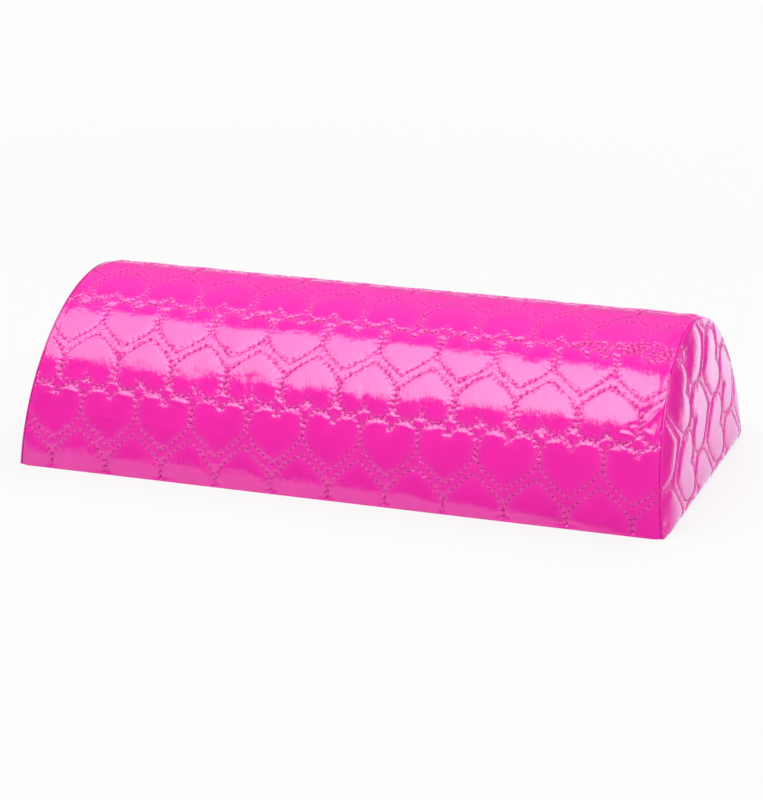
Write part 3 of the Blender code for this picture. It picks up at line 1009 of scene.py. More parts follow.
@dataclass(frozen=True)
class QuiltedCover:
    """The quilted panel that runs from the front base edge over the crest to the back base edge."""

    cell: float = 0.70 * MM
    puff: float = 1.3 * MM
    crest_calm: float = 0.45
    crest_width: float = 22.0 * MM
    wall: float = 4.0 * MM
    fade: float = 2.0 * MM
    foot_roll: float = 1.6 * MM
    foot_depth: float = 0.20 * MM
    end_roll: float = 5.5 * MM
    end_depth: float = 1.3 * MM
    wrinkle: float = 0.18 * MM
    wrinkle_size: float = 2.4 * MM
    wrinkle_reach: float = 1.8 * MM
    stitch_dip: float = 0.17 * MM
    stitch_reach: float = 1.3 * MM
    unevenness: float = 0.26 * MM
    waves: tuple[tuple[float, int, float], ...] = ((24, 1, 1.0), (9, 2, 0.5), (4, 3, 0.16))
    sewn_margin: float = 0.8 * MM
    creases: tuple[Crease, ...] = ()
    tangles: tuple[Tangle, ...] = ()
    threads: Stitching = Stitching()

    def quilt(self) -> HeartQuilt:
        """The hearts on the whole panel."""
        reach = FORM.half_length
        return HeartQuilt((-reach, 0.0), (reach, FORM.cloth_run()), drift=Drift())

    def to_edge(self, flat: np.ndarray, edge: Edge = Edge.ALL) -> np.ndarray:
        """Distance of each place to the nearest edge of the cloth."""
        end = FORM.end_x(FORM.point(flat[:, 1], 0.0)[1]) - np.abs(flat[:, 0])
        foot = np.minimum(flat[:, 1], FORM.cloth_run() - flat[:, 1])
        chosen = {Edge.ALL: np.minimum(end, foot), Edge.ENDS: end, Edge.FEET: foot}[edge]
        return np.clip(chosen, 0.0, None)

    def depth(self, flat: np.ndarray) -> np.ndarray:
        """Depth of the sewn lines, less over the crest: puff * (1 - calm * exp(-(v / width)^2))."""
        beyond = (flat[:, 1] - FORM.cloth_run() / 2) / self.crest_width
        return self.puff * (1.0 - self.crest_calm * np.exp(-(beyond**2)))

    def drop(self, flat: np.ndarray, near: Nearest, relief: GridField) -> np.ndarray:
        """How far the cloth lies below the section.

        The wadding's relief, the dip at each needle hole, the creases and a slight unevenness,
        all fading out at the panel's edge, where the cloth rolls down to its seam.
        """
        fall = self.depth(flat) * (1.0 - relief.at(flat))
        fall += self.stitch_dip * near.pull(flat, self.threads.pitch, self.stitch_reach, 4)
        raised = near.free(LOOSE)
        fall += self.unevenness * slackness(flat, self.waves) * raised
        wrinkles = self.wrinkle * lattice_noise(flat, self.wrinkle_size, 5)
        fall += wrinkles * np.exp(-near.capped() / self.wrinkle_reach)
        for crease in self.creases:
            fall -= crease.rise(flat) * raised
        return self.rolled(flat, fall)

    def rolled(self, flat: np.ndarray, fall: np.ndarray | float) -> np.ndarray:
        """A fall with the panel's edges added: it fades out there, and the cloth rolls to its seams.

        The ends fall by depth * (1 - d / roll)^2, and the feet by a quarter ellipse.
        """
        fade = np.clip(self.to_edge(flat) / self.fade, 0.0, 1.0)
        fade = fade * fade * (3.0 - 2.0 * fade)
        end = self.end_depth * (1.0 - np.clip(self.to_edge(flat, Edge.ENDS) / self.end_roll, 0.0, 1.0)) ** 2
        foot = quarter_fall(self.to_edge(flat, Edge.FEET), self.foot_roll, self.foot_depth)
        return fade * fall + np.maximum(end, foot)

    def outer(self) -> tuple[np.ndarray, np.ndarray, int, int, GridField, SewnLines]:
        """Grid of the cloth's face, its vertices near a sewn line moved onto it."""
        quilt = self.quilt()
        lines = SewnLines([*quilt.lines().lines, *(tangle.outline() for tangle in self.tangles)])
        relief = quilt.relief(lines)
        columns = int(round(2 * FORM.half_length / self.cell)) + 1
        rows = int(round(FORM.cloth_run() / self.cell)) + 1
        run = np.repeat(np.linspace(0.0, FORM.cloth_run(), rows), columns)
        reach = FORM.end_x(FORM.point(run, 0.0)[1])
        flat = np.stack([np.tile(np.linspace(-1.0, 1.0, columns), rows) * reach, run], axis=1)
        near = lines.nearest(flat)
        inner = np.ones((rows, columns), dtype=bool)
        inner[[0, -1]] = inner[:, [0, -1]] = False
        snapped = (near.distance < SNAP * self.cell) & inner.ravel()
        flat[snapped] = near.foot[snapped]
        return flat, snapped, rows, columns, relief, lines

    def build(self, cloth: bpy.types.Material, thread: bpy.types.Material, hole: bpy.types.Material) -> None:
        """Builds the cloth, its threads and its needle holes.

        Args:
            cloth: Finish of the glossy cloth.
            thread: Finish of the quilting thread.
            hole: Finish of the needle holes.
        """
        flat, snapped, rows, columns, relief, lines = self.outer()
        near = lines.nearest(flat)
        near.distance[snapped] = 0.0
        verts, _ = FORM.lay(flat, self.drop(flat, near, relief))
        loop = border(np.arange(rows * columns).reshape(rows, columns))
        lining, _ = FORM.lay(flat[loop], np.full(len(loop), self.wall))
        ring = len(verts) + np.arange(len(loop))
        wall = rim_wall(loop, ring)[:, [1, 0, 3, 2]]
        right, left = ring[columns - 1:columns + rows - 1], np.roll(ring[::-1], 1)[:rows]
        strips = np.stack([left[:-1], left[1:], right[1:], right[:-1]], axis=1)[1:-1]
        foot = [int(v) for v in ring[:columns]]
        back = [int(v) for v in ring[columns + rows - 2:2 * columns + rows - 2]]
        caps = [[*foot[::-1], int(left[1]), int(right[1])], [*back[::-1], int(right[-2]), int(left[-2])]]
        triangles = grid_triangles(rows, columns, snapped)
        distance = np.concatenate([near.capped(), np.full(len(loop), FAR)])
        mesh = Mesh("quilted_cover_cloth", np.vstack([verts, lining]), [triangles, wall, strips],
                    {"seam_distance": distance}, caps, np.vstack([flat, flat[loop]]))
        piece = mesh.build(cloth, "glossy_cover_cloth")
        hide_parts("quilted_cover")
        self.sew(lines, thread, hole)

    def inside(self, flat: np.ndarray) -> np.ndarray:
        """Which places lie on the panel, clear of its edges."""
        return (self.to_edge(flat) > self.sewn_margin) & (flat[:, 1] > 0) & (flat[:, 1] < FORM.cloth_run())

    def sew(self, lines: SewnLines, thread: bpy.types.Material, hole: bpy.types.Material) -> None:
        """Sews every heart: threads between needle holes, left out past the panel's edge."""
        start, end, mark, aim = self.threads.on_lines(lines, self.inside)
        first, normal = self.on_line(start)
        second, _ = self.on_line(end)
        spots, out = self.on_line(mark)
        ahead, _ = self.on_line(mark + aim)
        stitches = self.threads.threads("cover_quilting_thread", first, second, normal)
        stitches.build(thread, "glossy_cover_cloth")
        cups = self.threads.holes("cover_needle_holes", spots, out, ahead - spots)
        cups.build(hole, "glossy_cover_cloth")

    def on_line(self, flat: np.ndarray) -> tuple[np.ndarray, np.ndarray]:
        """Places and normals of points on a sewn line, just above the cloth there."""
        return FORM.lay(flat, self.rolled(flat, self.depth(flat) - SEWN_RISE) - THREAD_RISE)


@dataclass(frozen=True)
class EndPanel:
    """The half-round quilted panel that closes one end, its rows of hearts upright."""

    side: Side
    cell: float = 0.75 * MM
    thickness: float = 3.4 * MM
    crown: float = 1.0 * MM
    rim_roll: float = 1.4 * MM
    rim_depth: float = 0.25 * MM
    dome_width: float = 22.0 * MM
    dome_depth: float = 2.6 * MM
    flat_rim: float = 10.0 * MM
    foot_roll: float = 7.0 * MM
    foot_fall: float = 2.2 * MM
    puff: float = 0.88 * MM
    stitch_dip: float = 0.10 * MM
    stitch_reach: float = 1.0 * MM
    unevenness: float = 0.17 * MM
    waves: tuple[tuple[float, int, float], ...] = ((26, 11, 1.0), (10, 12, 0.5), (4, 13, 0.16))
    inset: float = 1.3 * MM
    least: float = 0.05 * MM
    sewn_rim: float = 2.2 * MM
    sewn_foot: float = 0.6 * MM
    threads: Stitching = Stitching(pitch=3.3 * MM, radius=0.12 * MM, arch=0.08 * MM,
                                   hole_length=0.40 * MM, hole_width=0.28 * MM)

    def quilt(self) -> HeartQuilt:
        """The hearts on this panel: the same pattern, larger and turned a quarter."""
        return HeartQuilt((-FORM.half_width, 0.0), (FORM.half_width, FORM.height), facing_line=-21.5 * MM,
                          first_heart=19.4 * MM, scale=1.165, turned=True)

    def height(self, flat: np.ndarray, relief: GridField | None, near: Nearest | None) -> np.ndarray:
        """How far the cloth stands outside the seam's plane, over (n, 2) places in Y and Z.

        The pad's thickness and crown, less a dome's fall of depth * (1 - d / width)^2 towards the
        rim, the rolls at the rim and foot, and the wadding's relief.
        """
        share = np.hypot(flat[:, 0] / FORM.half_width, flat[:, 1] / FORM.height)
        to_rim = np.clip(1.0 - share - self.inset / FORM.height, 0.0, None) * FORM.height
        up = np.clip(flat[:, 1] / FORM.height, 0.0, 1.0)
        crown = self.crown * np.clip(1.0 - share**2, 0.0, 1.0) * up
        dome = self.dome_depth * (1.0 - np.clip(to_rim / self.dome_width, 0.0, 1.0)) ** 2
        foot = quarter_fall(flat[:, 1], self.foot_roll, self.foot_fall)
        fall = np.maximum(dome, foot) + quarter_fall(to_rim, self.rim_roll, self.rim_depth)
        fade = np.clip(np.minimum(to_rim, flat[:, 1]) / self.flat_rim, 0.0, 1.0)
        fade = fade * (2.0 - fade)
        drop = self.puff * (1.0 - relief.at(flat)) if relief else np.full(len(flat), self.puff - SEWN_RISE)
        if near:
            drop += self.stitch_dip * near.pull(flat, self.threads.pitch, self.stitch_reach, 14)
            waves = tuple((size, seed + self.side.value, part) for size, seed, part in self.waves)
            drop += self.unevenness * slackness(flat, waves) * near.free(LOOSE)
        return np.maximum(self.thickness - fall + crown - fade * drop, self.least)

    def place(self, flat: np.ndarray, height: np.ndarray) -> np.ndarray:
        """Puts Y, Z and a height outside the seam's plane into space, on the leaning end."""
        x = self.side.value * (FORM.end_x(flat[:, 1]) + FORM.seam_gap + height)
        return np.stack([x, flat[:, 0], flat[:, 1]], axis=1)

    def build(self, cloth: bpy.types.Material, thread: bpy.types.Material, hole: bpy.types.Material) -> None:
        """Builds the panel on rings about the foot's middle, with its threads and needle holes."""
        quilt = self.quilt()
        lines = quilt.lines()
        relief = quilt.relief(lines)
        columns = int(round(FORM.cloth_run() / self.cell)) + 1
        rows = int(round(FORM.height / self.cell)) + 1
        share = np.linspace(0.0, 1.0, rows)[1:]
        angle, run = FORM.table()
        turn = np.interp(np.linspace(0.0, run[-1], columns), run, angle)
        rim = np.stack([-FORM.half_width * np.cos(turn), FORM.height * np.sin(turn)], axis=1)
        rim *= 1.0 - self.inset / FORM.height
        rim[:, 1] = np.maximum(rim[:, 1], 0.0)
        flat = (share[:, None, None] * rim).reshape(-1, 2)
        near = lines.nearest(flat)
        inner = np.ones((rows - 1, columns), dtype=bool)
        inner[-1] = inner[:, 0] = inner[:, -1] = False
        room = SNAP * np.minimum(self.cell, np.repeat(share, columns) * self.cell)
        snapped = (near.distance < room) & inner.ravel()
        flat[snapped] = near.foot[snapped]
        near = lines.nearest(flat)
        near.distance[snapped] = 0.0
        middle = np.zeros((1, 2))
        flat = np.vstack([flat, middle])
        near = Nearest(np.append(near.distance, FAR), np.vstack([near.foot, middle]),
                       np.append(near.run, 0.0))
        verts = self.place(flat, self.height(flat, relief, near))
        count = len(verts)
        centre = count - 1
        triangles = grid_triangles(rows - 1, columns, snapped)
        first = np.arange(columns)
        fan = np.stack([np.full(columns - 1, centre), first[1:], first[:-1]], axis=1)
        place = np.arange((rows - 1) * columns).reshape(rows - 1, columns)
        loop = np.concatenate([place[-1], place[-2::-1, -1], [centre], place[:-1, 0]])
        back = self.place(flat[loop], np.zeros(len(loop)))
        ring = count + np.arange(len(loop))
        wall = rim_wall(loop, ring)
        faces = [triangles[:, ::-1], fan[:, ::-1], wall[:, ::-1]]
        cap = [int(v) for v in ring]
        if self.side is Side.LEFT:
            faces = [f[:, ::-1] for f in faces]
            cap = cap[::-1]
        distance = np.concatenate([near.capped(), np.full(len(loop), FAR)])
        name = f"end_panel_{self.side.name.lower()}"
        mesh = Mesh(f"{name}_cloth", np.vstack([verts, back]), faces, {"seam_distance": distance}, [cap],
                    np.vstack([flat, flat[loop]])[:, ::-1])
        piece = mesh.build(cloth, "glossy_end_cloth")
        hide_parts(name)
        self.sew(name, lines, thread, hole)

    def sew(self, name: str, lines: SewnLines, thread: bpy.types.Material, hole: bpy.types.Material) -> None:
        """Sews every heart of the panel inside its rim and above its foot."""
        start, end, mark, aim = self.threads.on_lines(lines, self.inside)
        lean = FORM.end_lean_in / FORM.height
        out = np.array([self.side.value, 0.0, lean]) / np.hypot(1.0, lean)
        first, second, spots, ahead = (self.on_line(v) for v in (start, end, mark, mark + aim))
        square, upright = (np.tile(out, (len(v), 1)) for v in (first, spots))
        stitches = self.threads.threads(f"{name}_quilting_thread", first, second, square)
        stitches.build(thread, "glossy_end_cloth")
        cups = self.threads.holes(f"{name}_needle_holes", spots, upright, ahead - spots)
        cups.build(hole, "glossy_end_cloth")

    def inside(self, flat: np.ndarray) -> np.ndarray:
        """Which places lie inside the rim and above the foot."""
        share = np.hypot(flat[:, 0] / FORM.half_width, flat[:, 1] / FORM.height)
        return (share < 1.0 - self.sewn_rim / FORM.height) & (flat[:, 1] > self.sewn_foot)

    def on_line(self, flat: np.ndarray) -> np.ndarray:
        """Places of points on a sewn line, just above the cloth there."""
        return self.place(flat, self.height(flat, None, None) + THREAD_RISE)


@dataclass(frozen=True)
class SeamStitching:
    """The short threads seen down in the seams round both ends."""

    margin: float = 1.5 * MM
    depth: float = 1.5 * MM
    outside: float = 0.05 * MM
    seen_share: float = 0.82
    turned_out: float = 0.7
    threads: Stitching = Stitching(pitch=2.6 * MM, radius=0.14 * MM, arch=0.10 * MM, dip=0.10 * MM,
                                   rings=3, sides=4)

    def build(self, thread: bpy.types.Material) -> None:
        """Lays a stitch at every pitch round the section at each end."""
        count = int(FORM.cloth_run() / self.threads.pitch)
        run = np.linspace(self.margin, FORM.cloth_run() - self.margin, count)
        starts, ends, normals = [], [], []
        for side in Side:
            y, z, normal_y, normal_z = FORM.point(run, self.depth)
            x = side.value * (FORM.end_x(z) + self.outside)
            seam = np.stack([x, y, z], axis=1)
            starts.append(seam[:-1])
            ends.append(seam[:-1] + (seam[1:] - seam[:-1]) * self.seen_share)
            out = np.stack([np.full(len(run), self.turned_out * side.value), normal_y, normal_z], axis=1)
            normals.append(out[:-1] / np.linalg.norm(out[:-1], axis=1, keepdims=True))
        start, end, normal = (np.vstack(v) for v in (starts, ends, normals))
        self.threads.threads("end_seam_thread", start, end, normal).build(thread, "glossy_end_cloth")


@dataclass(frozen=True)
class BasePanel:
    """The plain panel under the cushion: flat, rounded at its border, sewn round just inside it."""

    thickness: float = 1.5 * MM
    edge: float = 0.6 * MM
    stitch_inset: float = 2.4 * MM
    groove_depth: float = 0.25 * MM
    groove_width: float = 0.5 * MM
    sag: float = 0.05 * MM
    sag_size: float = 18 * MM
    sag_margin: float = 3 * MM
    thread_height: float = 0.27 * MM
    least_stitch: float = 0.5 * MM
    seen_share: float = 0.85
    threads: Stitching = Stitching(pitch=3.0 * MM, radius=0.16 * MM, arch=0.10 * MM, dip=0.08 * MM,
                                   rings=3, sides=4)

    def build(self, cloth: bpy.types.Material, thread: bpy.types.Material) -> None:
        """Builds the panel as a rounded plate with a sewn groove, and the threads of the groove."""
        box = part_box("base_panel")
        half = np.array([(box[1][k] - box[0][k]) / 2 for k in (0, 1)])
        spans = ((-1.0, -0.94, 24), (-0.93, 0.93, 60), (0.94, 1.0, 24))
        share = np.concatenate([np.linspace(*span) for span in spans])
        x, y = np.meshgrid(share * half[0], share * half[1])
        flat = np.stack([x.ravel(), y.ravel()], axis=1)
        to_edge = np.minimum(half[0] - np.abs(flat[:, 0]), half[1] - np.abs(flat[:, 1]))
        groove = self.groove_depth * np.exp(-(((to_edge - self.stitch_inset) / self.groove_width) ** 2))
        low = quarter_fall(to_edge, self.edge, self.edge) + groove
        sag = self.sag * (1.0 + lattice_noise(flat, self.sag_size, 31))
        low += sag * np.clip(to_edge / self.sag_margin, 0.0, 1.0)
        count = len(share)
        below = np.column_stack([flat, low])
        above = np.column_stack([flat, np.full(len(flat), self.thickness)])
        loop = border(np.arange(count * count).reshape(count, count))
        ring = len(below) + np.arange(len(loop))
        wall = rim_wall(loop, ring)
        faces = [grid_triangles(count, count)[:, ::-1], wall]
        cap = [int(v) for v in ring]
        plate = Mesh("base_panel_cloth", np.vstack([below, above[loop]]), faces, {}, [cap])
        piece = plate.build(cloth, "plain_base_cloth")
        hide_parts("base_panel")
        inner = half - self.stitch_inset
        corners = np.array([[-1, -1], [1, -1], [1, 1], [-1, 1]]) * inner
        holes = np.vstack([self.threads.spaced(corners[[k, (k + 1) % 4]], closed=False) for k in range(4)])
        centre = np.column_stack([holes, np.full(len(holes), self.thread_height)])
        moved = np.linalg.norm(np.diff(centre, axis=0), axis=1) > self.least_stitch
        down = np.tile([0.0, 0.0, -1.0], (moved.sum(), 1))
        start, end = centre[:-1][moved], centre[1:][moved]
        end = start + (end - start) * self.seen_share
        stitches = self.threads.threads("base_panel_thread", start, end, down)
        stitches.build(thread, "plain_base_cloth")


@dataclass(frozen=True)
class FoamBlock:
    """The foam inside: the half-round block that the cover is drawn over."""

    inset: float = 4.3 * MM
    floor: float = 1.8 * MM
    rows: int = 60
    columns: int = 80
    base_columns: int = 28
    unevenness: float = 0.08 * MM
    lump: float = 3 * MM
    end_gap: float = 0.35 * MM

    def build(self, foam: bpy.types.Material) -> None:
        """Builds the block as a grid round its section from end to end, closed by two caps."""
        run = np.linspace(0.0, FORM.cloth_run(), 400)
        y, z, _, _ = FORM.point(run, self.inset)
        start, end = run[z > self.floor][[0, -1]]
        arc = np.linspace(start, end, self.rows)
        y, z, normal_y, normal_z = FORM.point(arc, self.inset)
        base = np.linspace(y[-1], y[0], self.base_columns + 2)[1:-1]
        foot = np.stack([base, np.full(len(base), self.floor)], axis=1)
        outline = np.vstack([np.stack([y, z], axis=1), foot])
        out = np.vstack([np.stack([normal_y, normal_z], axis=1), np.tile([0.0, -1.0], (len(base), 1))])
        count = len(outline)
        share = np.linspace(-1.0, 1.0, self.columns)
        reach = FORM.end_x(outline[:, 1]) - self.end_gap
        x = share[:, None] * reach
        around = np.broadcast_to(np.arange(count) * self.lump, x.shape)
        rough = lattice_noise(np.stack([x, around], -1).reshape(-1, 2), self.lump, 51)
        depth = self.unevenness * (rough.reshape(x.shape) - 1.0) * (1.0 - share[:, None] ** 20)
        yz = outline[None] + out[None] * depth[..., None]
        verts = np.concatenate([x[..., None], yz], axis=-1).reshape(-1, 3)
        place = np.arange(self.columns * count).reshape(self.columns, count)
        following = np.roll(place, -1, axis=1)
        corners = [place[1:], following[1:], following[:-1], place[:-1]]
        sides = np.stack(corners, axis=-1).reshape(-1, 4)
        caps = [[int(v) for v in place[0]], [int(v) for v in place[-1][::-1]]]
        piece = Mesh("foam_block", verts, [sides], {}, caps).build(foam, "foam")
        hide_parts("foam_core")


# The studio


def flat_face(name: str, corners: list, material: bpy.types.Material) -> bpy.types.Object:
    """Makes one four-cornered face of the studio and links it."""
    mesh = bpy.data.meshes.new(name)
    mesh.from_pydata([tuple(corner) for corner in corners], [], [(0, 1, 2, 3)])
    mesh.materials.append(material)
    face = bpy.data.objects.new(name, mesh)
    bpy.context.scene.collection.objects.link(face)
    return face


@dataclass(frozen=True)
class Camera:
    """Where the photograph was taken from: angles in degrees, lens and sensor in millimetres."""

    yaw: float = 19.247
    pitch: float = 18.823
    roll: float = -0.296
    distance: float = 1.44496
    target: tuple[float, float, float] = (-1.75 * MM, 0.0, 22.74 * MM)
    lens: float = 141.288
    sensor: float = 36.0
    clip_end: float = 50.0

    def back(self) -> Vector:
        """Direction from the target to the camera."""
        yaw, pitch = radians(self.yaw), radians(self.pitch)
        return Vector((sin(yaw) * cos(pitch), -cos(yaw) * cos(pitch), sin(pitch)))

    def build(self) -> None:
        """Makes the camera and makes it the scene's."""
        back = self.back()
        right = Vector((0, 0, 1)).cross(back).normalized()
        up = back.cross(right)
        roll = radians(self.roll)
        across, above = right * cos(roll) + up * sin(roll), up * cos(roll) - right * sin(roll)
        data = bpy.data.cameras.new("photo_camera")
        data.lens, data.sensor_width, data.clip_end = self.lens, self.sensor, self.clip_end
        camera = bpy.data.objects.new("photo_camera", data)
        bpy.context.scene.collection.objects.link(camera)
        turn = Matrix((across, above, back)).transposed().to_4x4()
        camera.matrix_world = Matrix.Translation(Vector(self.target) + back * self.distance) @ turn
        bpy.context.scene.camera = camera


@dataclass(frozen=True)
class SoftLight:
    """One soft rectangular light, seen in no reflection."""

    name: str
    place: tuple[float, float, float]
    aim: tuple[float, float, float]
    size: tuple[float, float]
    power: float

    def build(self) -> None:
        """Makes the light and turns it to its aim."""
        data = bpy.data.lights.new(self.name, "AREA")
        data.shape, data.size, data.size_y, data.energy = "RECTANGLE", *self.size, self.power
        light = bpy.data.objects.new(self.name, data)
        light.location = self.place
        light.rotation_euler = (Vector(self.aim) - Vector(self.place)).to_track_quat("-Z", "Y").to_euler()
        light.visible_glossy = False
        light.visible_camera = False
        bpy.context.scene.collection.objects.link(light)


@dataclass(frozen=True)
class SoftBox:
    """The long box overhead, turned a little, brighter to its right and front."""

    middle: tuple[float, float, float] = (-0.475, -0.205, 0.86)
    size: tuple[float, float] = (1.65, 0.68)
    turn: float = -15.0
    right: tuple[tuple[float, float], ...] = ((-0.50, 2.3), (-0.15, 3.5))
    front: tuple[tuple[float, float], ...] = ((0.1, 0.88), (-0.4, 1.06))

    def build(self) -> None:
        """Makes the panel, which glows by right(x) * front(y), each a ramp between two (place, share)."""
        material = bpy.data.materials.new("box_cloth")
        nodes = emptied(material)
        place = nodes.add("ShaderNodeSeparateXYZ", {0: nodes.place()})
        along = nodes.ramp(place.outputs["X"], *self.right)
        across = nodes.ramp(place.outputs["Y"], *self.front)
        glow = nodes.add("ShaderNodeEmission", {"Strength": nodes.math("MULTIPLY", along, across)})
        nodes.add("ShaderNodeOutputMaterial", {0: glow.outputs[0]})
        spin = Matrix.Rotation(radians(self.turn), 3, "Z")
        long, wide = (v / 2 for v in self.size)
        corners = [Vector((x * long, y * wide, 0.0)) for x, y in ((-1, -1), (-1, 1), (1, 1), (1, -1))]
        corners = [spin @ corner + Vector(self.middle) for corner in corners]
        box = flat_face("overhead_box", corners, material)
        box.visible_camera = False


@dataclass(frozen=True)
class Studio:
    """White table, dim room, a long soft box overhead and three fill lights.

    A ramp is a straight line between two pairs of place and result, level beyond them. The glow
    of the table and of the room is only what glossy cloth reflects.
    """

    table_front: float = -0.118
    table_right: float = 0.180
    table_slant: float = 0.30
    table_reach: float = 6.0
    front_blur: float = 0.004
    right_blur: float = 0.006
    near_start: tuple[float, float] = (-0.08, 0.75)
    near_end: float = -0.04
    beside: tuple[tuple[float, float], ...] = ((0.160, 1.15), (0.205, 1.95))
    far: tuple[tuple[float, float], ...] = ((0.30, 1.0), (0.50, 0.85))
    least_glow: float = 0.03
    glow_colour: tuple[float, ...] = (0.72, 0.95, 1.06, 1.0)
    white: float = 0.980
    paper: tuple[float, ...] = (0.74, 0.74, 0.74, 1.0)
    shadow: tuple[tuple[float, float], ...] = ((0.2, 0.8), (0.7, 1.0))
    behind: tuple[tuple[float, float], ...] = ((0.1, 0.0), (0.6, 0.20))
    left: tuple[tuple[float, float], ...] = ((0.15, 0.0), (-0.15, 1.0))
    room_glow: float = 0.05
    room_light: float = 0.22
    backdrop_light: float = 0.77
    lights: tuple[SoftLight, ...] = (
        SoftLight("crest_fill", (0.3, 0.9, 1.1), (0.0, 0.0, 0.06), (1.6, 0.9), 15.0),
        SoftLight("front_fill", (0.92, -1.68, 0.80), (0.0, 0.0, 0.02), (2.0, 1.2), 12.8),
        SoftLight("right_fill", (1.8, -0.1, 0.6), (0.1, 0.0, 0.03), (1.2, 1.2), 6.4),
    )

    def floor(self) -> None:
        """A wide floor: white to the camera, with a soft shadow; in gloss, a table that ends in front.

        Seen from below it is clear, so that a view from there shows the base panel.
        """
        material = bpy.data.materials.new("white_table")
        nodes = emptied(material)
        place = nodes.place()
        path = nodes.add("ShaderNodeLightPath")
        glow = self.table_glow(nodes, nodes.add("ShaderNodeSeparateXYZ", {0: place}))
        mirror = nodes.add("ShaderNodeEmission", {"Strength": glow, "Color": self.glow_colour})
        white = nodes.add("ShaderNodeEmission", {"Strength": self.white})
        paper = nodes.add("ShaderNodeBsdfDiffuse", {"Color": self.paper})
        away = nodes.add("ShaderNodeVectorMath", {0: place}, operation="LENGTH").outputs["Value"]
        seen = nodes.either(nodes.ramp(away, *self.shadow), paper, white)
        camera = nodes.either(path.outputs["Is Camera Ray"], paper, seen)
        shiny = nodes.either(path.outputs["Is Glossy Ray"], camera, mirror)
        behind = nodes.add("ShaderNodeNewGeometry").outputs["Backfacing"]
        below = nodes.math("MULTIPLY", behind, path.outputs["Is Camera Ray"])
        whole = nodes.either(below, shiny, nodes.add("ShaderNodeBsdfTransparent"))
        nodes.add("ShaderNodeOutputMaterial", {0: whole.outputs[0]})
        size = self.table_reach
        corners = [(-size, -size, 0), (size, -size, 0), (size, size, 0), (-size, size, 0)]
        floor = flat_face("floor", corners, material)

    def table_glow(self, nodes: NodeTree, parts: bpy.types.Node) -> bpy.types.NodeSocket:
        """How bright the table is in gloss: brighter beside and behind the object, ending in front.

        Args:
            nodes: Nodes of the table's material.
            parts: Node that gives the place's X and Y.

        Returns:
            The strength of the glow.
        """
        x, y = parts.outputs["X"], parts.outputs["Y"]
        yaw = radians(Camera().yaw)
        depth = nodes.math("SUBTRACT", nodes.math("MULTIPLY", y, cos(yaw)),
                           nodes.math("MULTIPLY", x, sin(yaw)))
        inside = nodes.ramp(depth, (self.table_front - self.front_blur, 0.0),
                            (self.table_front + self.front_blur, 1.0))
        reach = nodes.math("SUBTRACT", x, nodes.math("MULTIPLY", y, self.table_slant))
        short = nodes.ramp(reach, (self.table_right + self.right_blur, 0.0),
                           (self.table_right - self.right_blur, 1.0))
        lit = nodes.ramp(y, self.near_start, (self.near_end, nodes.ramp(x, *self.beside)))
        lit = nodes.math("MULTIPLY", lit, nodes.ramp(y, *self.far))
        on_table = nodes.math("MULTIPLY", inside, short)
        return nodes.math("ADD", nodes.math("MULTIPLY", on_table, lit), self.least_glow)

    def world(self) -> None:
        """Even grey light, white behind the object, and in gloss a dim room, lighter behind."""
        world = bpy.data.worlds.new("studio_room")
        bpy.context.scene.world = world
        nodes = emptied(world)
        way = nodes.add("ShaderNodeSeparateXYZ", {0: nodes.place("Generated")})
        behind = nodes.ramp(way.outputs["Y"], *self.behind)
        left = nodes.ramp(way.outputs["X"], *self.left)
        room = nodes.math("ADD", nodes.math("MULTIPLY", behind, left), self.room_glow)
        path = nodes.add("ShaderNodeLightPath")
        plain = nodes.math("MULTIPLY_ADD", path.outputs["Is Camera Ray"],
                           self.backdrop_light, self.room_light)
        gloss = path.outputs["Is Glossy Ray"]
        rest = nodes.math("MULTIPLY", plain, nodes.math("SUBTRACT", 1.0, gloss))
        strength = nodes.math("ADD", rest, nodes.math("MULTIPLY", gloss, room))
        back = nodes.add("ShaderNodeBackground", {"Strength": strength})
        nodes.add("ShaderNodeOutputWorld", {0: back.outputs[0]})

    def build(self) -> None:
        """Sets up the whole studio and the plain view transform."""
        bpy.context.scene.view_settings.view_transform = "Standard"
        self.floor()
        self.world()
        SoftBox().build()
        for light in self.lights:
            light.build()
        Camera().build()


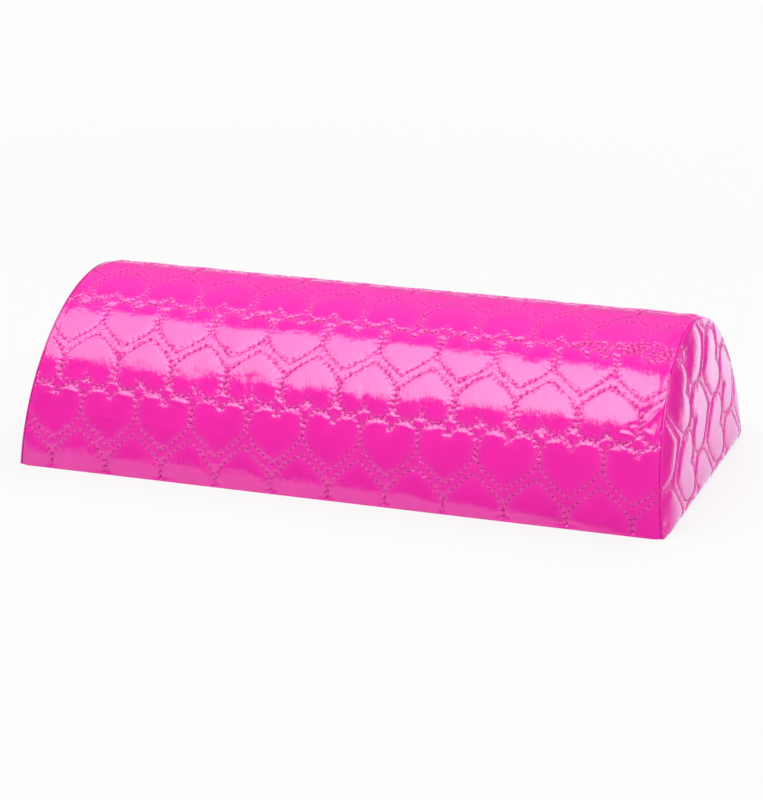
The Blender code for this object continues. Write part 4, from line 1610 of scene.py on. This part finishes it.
CREASES = (
    Crease(-128, 37.0, 9, 1.3, 0.50, -16),
    Crease(-115, 37.4, 8, 1.2, 0.40, 8),
    Crease(-102, 37.0, 9, 1.3, 0.55, -14),
    Crease(-88, 37.2, 9, 1.3, 0.40, 6),
    Crease(-75, 36.8, 9, 1.3, 0.55, -12),
    Crease(-121, 42.5, 8, 1.1, 0.55, -38),
    Crease(-95, 42.5, 8, 1.1, 0.60, -34),
    Crease(-68, 42.0, 8, 1.1, 0.50, -30),
    Crease(-141, 34, 15, 1.0, 0.30, 4),
    Crease(-138, 28, 18, 1.3, -0.20, 2),
    Crease(-112, 26.5, 22, 1.0, 0.32, -3),
    Crease(-108, 21.0, 14, 1.0, 0.20, 3),
    Crease(-84, 33.5, 17, 0.9, 0.26, 3),
    Crease(-82, 25.0, 20, 1.0, 0.26, -5),
    Crease(-56, 24.0, 18, 1.0, 0.24, 3),
    Crease(-30, 22.5, 15, 0.9, 0.16, -3),
    Crease(-44, 49, 9, 1.6, -0.20, 90),
    Crease(-17, 50, 10, 1.6, -0.24, 88),
    Crease(10, 50, 9, 1.5, -0.20, 92),
    Crease(37, 50, 9, 1.6, -0.16, 90),
    Crease(-71, 50, 8, 1.5, -0.16, 90),
    Crease(141, 53, 14, 1.1, 0.85, 62),
    Crease(137, 58, 12, 1.0, 0.75, 35),
    Crease(139, 46, 12, 1.0, 0.85, -18),
    Crease(143, 62, 10, 0.9, 0.60, 50),
    Crease(135, 51, 8, 0.9, 0.65, 12),
    Crease(144, 41, 9, 0.9, 0.60, 24),
    Crease(132, 44, 9, 0.9, 0.50, -8),
    Crease(146, 49, 7, 0.8, -0.50, 75),
    Crease(118, 93, 18, 0.8, 0.26, 2),
    Crease(135, 96, 14, 0.8, 0.30, -6),
    Crease(128, 104, 20, 1.0, 0.24, 5),
    Crease(104, 100, 14, 0.9, 0.18, -4),
)
TANGLES = (
    Tangle(121, 88.5, 46, 2.6, -2, 3, 0.9),
    Tangle(130, 92.0, 30, 2.0, 3, 4, 0.7),
    Tangle(113, 83.5, 4.6, 4.2),
    Tangle(139, 84.0, 15, 2.2, 24, 2, 0.5),
)


def main() -> None:
    """Builds every piece, then the studio."""
    logging.basicConfig(level=logging.INFO, format="%(name)s %(message)s")
    grain, puckers, ribs = grain_group(), pucker_group(), rib_group()
    cover_cloth = PatentCloth("glossy_cover_cloth", (0.90, 0.020, 0.40), 0.07).material(grain, puckers, ribs)
    end_cloth = PatentCloth("glossy_end_cloth", (0.88, 0.022, 0.39), 0.09).material(grain, puckers, ribs)
    base_cloth = PlainCloth("plain_base_cloth", (0.80, 0.022, 0.34), 0.45).material(grain)
    thread = TwistedThread("pink_thread", (0.92, 0.11, 0.50), 0.40).material()
    end_thread = TwistedThread("end_thread", (0.96, 0.16, 0.58), 0.55).material()
    seam_thread = TwistedThread("seam_thread", (0.45, 0.010, 0.18), 0.5).material()
    # Needle hole colours: painted shade in the holes, darkest in their middles.
    hole = NeedleHole("needle_hole", (0.46, 0.008, 0.20), 0.6).material()
    end_hole = NeedleHole("end_needle_hole", (0.66, 0.012, 0.29), 0.6, rim=(0.85, 0.02, 0.38)).material()
    foam = OpenFoam("foam", (0.85, 0.83, 0.76), 0.95).material()
    FoamBlock().build(foam)
    BasePanel().build(base_cloth, seam_thread)
    folds = (*CREASES, *SeamFolds().creases(QuiltedCover().quilt()))
    QuiltedCover(creases=folds, tangles=TANGLES).build(cover_cloth, thread, hole)
    for side in Side:
        EndPanel(side).build(end_cloth, end_thread, end_hole)
    SeamStitching().build(seam_thread)
    Studio().build()


if __name__ == "__main__":
    main()
